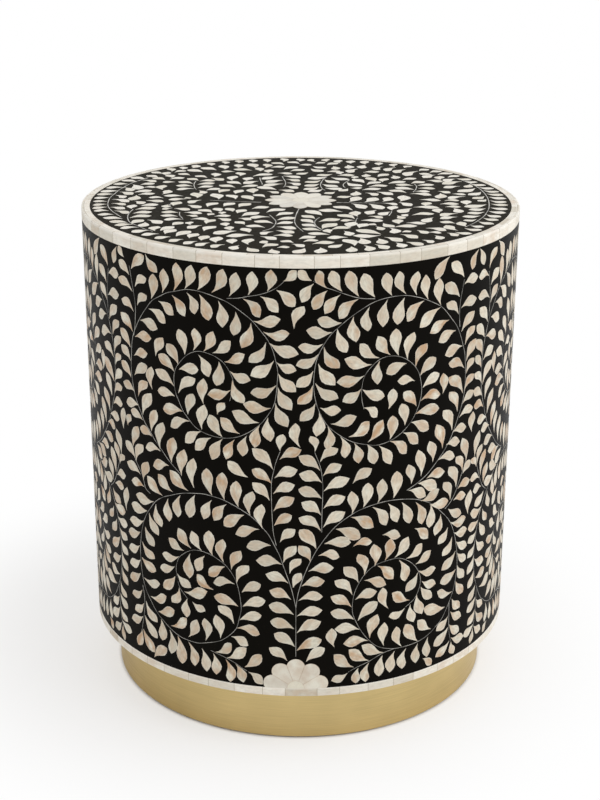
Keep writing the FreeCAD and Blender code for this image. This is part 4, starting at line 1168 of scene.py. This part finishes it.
# The paper, in metres: its radius, the sides it is cut to, the shift of its shadow, where that starts and ends to
# fade, and the ring at the plinth's edge inside which it stays whole. LIFTED is how white the eye sees it just
# outside that ring.
PAPER_RADIUS, PAPER_SIDES, SHADOW_SHIFT, FADE, CONTACT = 12.0, 96, (0.05, -0.05, 0), (0.2, 0.42), (0.179, 0.183)
LIFTED = 0.55


class STOOL_OT_stage(bpy.types.Operator):
    """Sets the camera, the soft studio light and a pale floor that fades into the backdrop"""
    bl_idname = "stool.stage"
    bl_label = "Camera, light and floor"

    def execute(self, context):
        stage, colours = settings(context, "stage", "colours")
        self.camera(context.scene, stage)
        self.lamps(context.scene, stage)
        self.room(context.scene, stage)
        self.floor(context.scene, colours)
        context.scene.view_settings.view_transform = "Standard"
        return {"FINISHED"}

    def camera(self, scene, stage):
        """Camera at the photograph's place and angle."""
        data = bpy.data.cameras.new("camera")
        data.sensor_width, data.lens = SENSOR, SENSOR * FOCAL_PIXELS / PICTURE_HEIGHT
        made = bpy.data.objects.new("camera", data)
        pitch, roll = stage.camera_pitch, stage.camera_roll
        ahead = Vector((0, math.cos(pitch), -math.sin(pitch)))
        right = Vector((1, 0, 0))
        up = right.cross(ahead)
        right, up = right * math.cos(roll) + up * math.sin(roll), up * math.cos(roll) - right * math.sin(roll)
        place = Matrix((right, up, -ahead)).transposed().to_4x4()
        place.translation = (0, -stage.camera_distance, stage.camera_height)
        made.matrix_world = Matrix.Rotation(stage.camera_turn, 4, "Z") @ place
        scene.collection.objects.link(made)
        scene.camera = made

    def lamps(self, scene, stage):
        """Two large soft lamps."""
        for name, power, size, at in LAMPS:
            data = bpy.data.lights.new(name, "AREA")
            data.energy, data.size, data.shape = getattr(stage, power), size, "DISK"
            lamp = bpy.data.objects.new(name, data)
            lamp.location = at
            lamp.rotation_mode = "QUATERNION"
            lamp.rotation_quaternion = (LAMPS_FACE - Vector(at)).to_track_quat("-Z", "Y")
            scene.collection.objects.link(lamp)

    def room(self, scene, stage):
        """Even light, and a white backdrop for the camera and for reflections."""
        world = bpy.data.worlds.new("studio")
        world.use_nodes = True
        scene.world = world
        tree = world.node_tree
        tree.nodes.clear()
        seen = backdrop_rays(tree)
        toward = add(tree, "ShaderNodeTexCoord")["Generated"]
        right = add(tree, "ShaderNodeSeparateXYZ", {0: toward})[0]
        lean = stage.world_level * stage.world_lean
        level = ranged(tree, right, -1, 1, stage.world_level - lean, stage.world_level + lean)
        strength = ranged(tree, seen, 0, 1, level, 1.0)
        sky = add(tree, "ShaderNodeBackground", {"Color": (1, 1, 1, 1), "Strength": strength})[0]
        add(tree, "ShaderNodeOutputWorld", {"Surface": sky})

    def floor(self, scene, colours):
        """A disc of pale paper that turns pure white away from the stool."""
        mesh = bpy.data.meshes.new("floor")
        work = bmesh.new()
        bmesh.ops.create_circle(work, cap_ends=True, segments=PAPER_SIDES, radius=PAPER_RADIUS)
        work.to_mesh(mesh)
        work.free()
        made = bpy.data.objects.new("floor", mesh)
        # Wood pulp paper, rolled matt: an even near-white with the faintest mottle.
        finish, tree = new_material("matt paper backdrop, rolled")
        place = own_place(tree)
        paper = mixed(tree, noise(tree, place, 90 * MM, 2), rgba(colours.backdrop), rgba(colours.backdrop, 0.985))
        dressed(finish, {"Base Color": paper, "Roughness": 1.0, "Specular IOR Level": 0.0})
        shadow_side = add(tree, "ShaderNodeMapping", {"Vector": place, "Location": SHADOW_SHIFT})[0]
        away = add(tree, "ShaderNodeVectorMath", {0: shadow_side}, operation="LENGTH")["Value"]
        fade = add(tree, "ShaderNodeMapRange", {"Value": away, "From Min": FADE[0], "From Max": FADE[1]},
                   interpolation_type="SMOOTHSTEP")[0]
        from_axis = add(tree, "ShaderNodeVectorMath", {0: place}, operation="LENGTH")["Value"]
        clear = ranged(tree, from_axis, *CONTACT)
        # A reflection keeps more of the stool's own shadow on the paper than the eye does.
        rays = add(tree, "ShaderNodeLightPath")
        mirrored = maths(tree, "MULTIPLY", fade, rays["Is Glossy Ray"])
        direct = maths(tree, "MAXIMUM", rays["Is Camera Ray"], rays["Is Transmission Ray"])
        lifted = maths(tree, "MULTIPLY", ranged(tree, fade, 0.0, 1.0, LIFTED, 1.0), direct)
        either = maths(tree, "MAXIMUM", lifted, mirrored)
        share = maths(tree, "MULTIPLY", either, clear)
        white = add(tree, "ShaderNodeEmission", {"Color": (1, 1, 1, 1), "Strength": 1.0})[0]
        surface = add(tree, "ShaderNodeMixShader", {
            0: share, 1: tree.nodes["Principled BSDF"].outputs[0], 2: white})[0]
        tree.links.new(surface, tree.nodes["Material Output"].inputs["Surface"])
        mesh.materials.append(finish)
        scene.collection.objects.link(made)


def backdrop_rays(tree):
    """1 for rays that show the backdrop: from the camera, a reflection or through glass; 0 for light."""
    rays = add(tree, "ShaderNodeLightPath")
    some = maths(tree, "MAXIMUM", rays["Is Camera Ray"], rays["Is Glossy Ray"])
    return maths(tree, "MAXIMUM", some, rays["Is Transmission Ray"])


class STOOL_OT_resin(bpy.types.Operator):
    """Coats the drum's skin and its top with poured black resin"""
    bl_idname = "stool.resin"
    bl_label = "Black resin"

    def execute(self, context):
        colours = context.scene.stool_colours
        coat(["side_resin"], black_resin("black polyester resin, poured and sanded", colours.resin, gloss=0.12))
        # The top's resin colour is painted lighter and browner, with less gloss, as a painted sheen of the light on
        # the top.
        coat(["top_resin"], black_resin("black polyester resin, sanded and waxed", colours.top_resin_with_sheen, gloss=0.03))
        return {"FINISHED"}


def panel_centres(panels):
    """Middle and width of each side panel, in millimetres round the drum from the front."""
    front = panels.front_width / MM
    other = (2 * math.pi * panels.radius / MM - front) / panels.other_count
    return [(0.0, front)] + [(front / 2 + other * (k + 0.5), other) for k in range(panels.other_count)]


class STOOL_OT_side_inlay(bpy.types.Operator):
    """Sets the leaves and the vine lines of all side panels into the drum's skin"""
    bl_idname = "stool.side_inlay"
    bl_label = "Side leaves and vines"

    def execute(self, context):
        inlay, panels, colours = settings(context, "inlay", "panels", "colours")
        low, high = (v.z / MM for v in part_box("side_resin"))
        leaves, runs = [], []
        for centre, width in panel_centres(panels):
            grown, vines = plan_side(inlay, width, low, high, FRONT_LEFT if centre == 0 else None)
            leaves += [(x + centre, *rest) for x, *rest in grown]
            runs += [run + (centre, 0) for run in vines]
        bone = inlaid_bone("cattle bone, sawn and sanded flush", colours.bone_cream, colours.bone_tan,
                           colours.bone_dull, least=0.36, most=1.0, pores=0.46)
        line = inlaid_line("white metal strip, let in and sanded", [c * SIDE_LINE_DULLED for c in colours.line])
        source = leaf_points("side_leaves", leaves, inlay.chip_depth, -inlay.chip_sink, inlay.seed)
        piece("side_leaves", source, chip_tree(True), {"Drum radius": panels.radius, "Material": bone},
              leaf_blanks())
        piece("side_vines", line_mesh("side_vines", runs), line_tree(True),
              {"Line width": inlay.line_width, "Line taper": inlay.line_taper, "Line depth": inlay.chip_depth,
               "Line face": inlay.line_sink, "Drum radius": panels.radius, "Material": line})
        return {"FINISHED"}


class STOOL_OT_top_inlay(bpy.types.Operator):
    """Sets the leaves and the vine lines of the top"""
    bl_idname = "stool.top_inlay"
    bl_label = "Top leaves and vines"

    def execute(self, context):
        inlay, panels, colours = settings(context, "inlay", "panels", "colours")
        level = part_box("rim_top_tiles")[1].z
        leaves, runs = plan_top(inlay, panels)
        bone = inlaid_bone("cattle bone, pale, sawn and sanded flush", colours.bone_pale, colours.bone_tan,
                           colours.bone_cream, least=0.04, most=0.2, pores=0.46)
        line = inlaid_line("white metal strip in the top, let in and sanded", colours.line)
        source = leaf_points("top_leaves", leaves, inlay.chip_depth, -inlay.chip_sink, inlay.seed + 1)
        piece("top_leaves", source, chip_tree(False), {"Top level": level, "Material": bone}, leaf_blanks())
        piece("top_vines", line_mesh("top_vines", runs), line_tree(False),
              {"Line width": inlay.top_line_width, "Line taper": inlay.line_taper, "Line depth": inlay.chip_depth,
               "Line face": inlay.line_sink, "Top level": level, "Material": line})
        return {"FINISHED"}


class STOOL_OT_tiles(bpy.types.Operator):
    """Makes the three rings of bone tiles with eased edges, and the filler in their seams"""
    bl_idname = "stool.tiles"
    bl_label = "Edge tiles"

    def execute(self, context):
        panels, tiles, colours = settings(context, "panels", "tiles", "colours")
        bone = inlaid_bone("cattle bone, bleached, sawn to tiles", colours.bone_pale, colours.bone_tan,
                           colours.bone_dull, least=0.12, most=0.4, pores=0.24)
        filler = seam_filler("bone dust filler, wiped and sanded", colours.filler)
        for index, (name, node, shift, *sizes) in enumerate(TILE_RINGS):
            seams = seam_angles(tiles, shift)
            seams.append(seams[0] + 2 * math.pi)
            starts = np.array(seams[:-1]) * panels.radius + tiles.seam / 2
            sweeps = np.diff(seams) * panels.radius - tiles.seam
            section = tile_section(node, *sizes, tiles.eased, tiles.rounded)
            seed = TILE_SEED + index
            made = self.ring(name, starts, sweeps, section, TILE_CUTS, tiles.eased, bone, panels, seed)
            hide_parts(node)
            # The filler has the tile's section, cut back behind its outer and its upper face.
            top, out = np.max(section, axis=0) - tiles.fill_sink
            shrunk = [(min(h, top), min(d, out)) for h, d in section]
            gaps = np.full(len(starts), tiles.seam)
            self.ring(name.replace("tile_ring", "seam_fill"), starts - tiles.seam, gaps, shrunk, 1, 0.0, filler,
                      panels, seed)
        return {"FINISHED"}

    def ring(self, name, starts, sweeps, section, cuts, eased, finish, panels, seed):
        """One ring of bars of the same section."""
        count = len(starts)
        chip = bar_blank(name + "_blank", section, cuts, eased) if eased else plain_bar(name + "_blank", section)
        source = points_mesh(name, np.column_stack([starts, np.zeros(count), np.zeros(count)]),
                             turn=np.zeros(count), size=np.column_stack([sweeps, np.ones(count), np.ones(count)]),
                             kind=np.zeros(count, int), tone=np.random.default_rng(seed).random(count))
        return piece(name, source, chip_tree(True), {"Drum radius": panels.radius, "Material": finish},
                     [chip])


def plain_bar(name, section):
    """A bar one unit long along X with this section in Y and Z."""
    count = len(section)
    verts = [(x, y, z) for x in (0.0, 1.0) for y, z in section]
    faces = [(k, (k + 1) % count, count + (k + 1) % count, count + k) for k in range(count)]
    faces += [tuple(range(count)), tuple(range(count, 2 * count))]
    return blank(name, verts, faces, [0.0] * len(verts))


class STOOL_OT_flowers(bpy.types.Operator):
    """Makes the flower on the top and the half flowers at the foot of the side panels, petal by petal"""
    bl_idname = "stool.flowers"
    bl_label = "Flowers"

    def execute(self, context):
        inlay, panels, f, colours = settings(context, "inlay", "panels", "flowers", "colours")
        bleached = colours.bone_white, colours.bone_grey, colours.bone_tan
        bone = petal_bone("cattle bone, bleached, sawn to petals", *bleached, most=0.2)
        worn = petal_bone("cattle bone, bleached, sawn to petals for the sides", *bleached, most=0.35)
        hub = petal_bone("cattle bone, turned to a disc", colours.bone_cream, colours.bone_dull, colours.bone_tan,
                         most=0.3)
        half = math.pi / f.top_petals
        petal = fan_blank("petal", petal_outline(f.top_tip - f.seam / 2, f.top_valley - f.seam / 2, f.top_shoulder,
                                                 0, half, f.hub, f.seam), PETAL_RIM, inlay.chip_depth)
        turns = [2 * half * k - math.pi / 2 for k in range(f.top_petals)]
        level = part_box("rim_top_tiles")[1].z
        made = self.set_out("top_flower", [(0, 0)] * len(turns), turns, [0] * len(turns), [petal], bone, {
            "Top level": level}, False, TOP_PETAL_SEED)
        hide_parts("top_flower_petals")
        outlines = []
        for k in range(f.side_petals):
            heading = math.pi / 2 + f.side_step * (k - (f.side_petals - 1) / 2)
            outline = petal_outline(f.side_tip - f.seam / 2, f.side_valley - f.seam / 2, None, heading,
                                    f.side_step / 2, f.hub, f.seam)
            outlines.append([(x, max(y, 0.0)) for x, y in outline])
        petals = [fan_blank(f"petal_{k}", outline, PETAL_RIM, inlay.chip_depth) for k, outline in enumerate(outlines)]
        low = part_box("side_resin")[0].z
        places = [(centre * MM, low) for centre, _ in panel_centres(panels) for _ in petals]
        kinds = list(range(len(petals))) * (panels.other_count + 1)
        made = self.set_out("side_half_flowers", places, [0.0] * len(places), kinds, petals, worn,
                            {"Drum radius": panels.radius}, True, SIDE_PETAL_SEED)
        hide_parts("side_flower_petals")
        coat(["top_flower_hub", "side_flower_hubs"], hub)
        return {"FINISHED"}

    def set_out(self, name, places, turns, kinds, chips, finish, inputs, bent, seed):
        """Petals at these places, each turned about its flower's centre."""
        count = len(places)
        source = points_mesh(name, [(x, y, 0) for x, y in places], turn=np.array(turns), size=np.ones((count, 3)),
                             kind=np.array(kinds), tone=np.random.default_rng(seed).random(count))
        return piece(name, source, chip_tree(bent), dict(inputs, Material=finish), chips)


class STOOL_OT_foot(bpy.types.Operator):
    """Finishes the brass foot and what carries it"""
    bl_idname = "stool.foot"
    bl_label = "Brass foot"

    def execute(self, context):
        colours = context.scene.stool_colours
        coat(["plinth_hoop"], brushed_brass("brass sheet, brushed and lacquered", colours.brass))
        coat(["floor_pads"], pressed_felt("wool felt, pressed", colours.felt))
        return {"FINISHED"}


class STOOL_OT_carcass(bpy.types.Operator):
    """Finishes the boards, formers, battens and screws inside the drum and under it"""
    bl_idname = "stool.carcass"
    bl_label = "Boards and screws"

    def execute(self, context):
        tint = Vector(context.scene.stool_colours.board)
        coat(["top_board", "bottom_board", "upper_former", "middle_former", "lower_former"],
             sawn_wood("birch plywood, sanded", tint, 3 * MM, 0))
        coat(["drum_shell", "plinth_core"], sawn_wood("poplar veneer, bent and glued", tint * 0.9, 2 * MM, 2))
        coat(["battens", "plinth_blocks"], sawn_wood("pine, planed", tint * 1.1, 4 * MM, 2))
        coat(["batten_dowels"], sawn_wood("beech dowel, turned", tint * 0.95, 1.5 * MM, 0))
        coat(["top_board_screws", "bottom_board_screws", "plinth_screws"],
             plated_steel("steel, zinc plated", linear("#8D9196"), linear("#B9BCC0")))
        return {"FINISHED"}


class STOOL_PT_panel(bpy.types.Panel):
    """Lists the operators and the settings that they use"""
    bl_label = "Inlay stool"
    bl_idname = "STOOL_PT_panel"
    bl_space_type = "VIEW_3D"
    bl_region_type = "UI"
    bl_category = "Inlay stool"

    def draw(self, context):
        column = self.layout.column()
        for operator in OPERATORS:
            column.operator(operator.bl_idname)
        for group in GROUPS:
            box = self.layout.box()
            for name in group.__annotations__:
                box.prop(getattr(context.scene, GROUPS[group]), name)


GROUPS = {StoolInlay: "stool_inlay", StoolPanels: "stool_panels", StoolFlowers: "stool_flowers",
          StoolTiles: "stool_tiles", StoolColours: "stool_colours", StoolStage: "stool_stage"}
OPERATORS = [STOOL_OT_stage, STOOL_OT_resin, STOOL_OT_side_inlay, STOOL_OT_top_inlay, STOOL_OT_tiles,
             STOOL_OT_flowers, STOOL_OT_foot, STOOL_OT_carcass]


def register():
    """Adds the settings, the operators and the panel."""
    for made in [*GROUPS, *OPERATORS, STOOL_PT_panel]:
        bpy.utils.register_class(made)
    for group, name in GROUPS.items():
        setattr(bpy.types.Scene, name, PointerProperty(type=group))


def unregister():
    """Takes them away again."""
    for name in GROUPS.values():
        delattr(bpy.types.Scene, name)
    for made in reversed([*GROUPS, *OPERATORS, STOOL_PT_panel]):
        bpy.utils.unregister_class(made)


def main():
    """Makes the whole stool."""
    register()
    for operator in OPERATORS:
        group, name = operator.bl_idname.split(".")
        getattr(getattr(bpy.ops, group), name)()


if __name__ == "__main__":
    main()
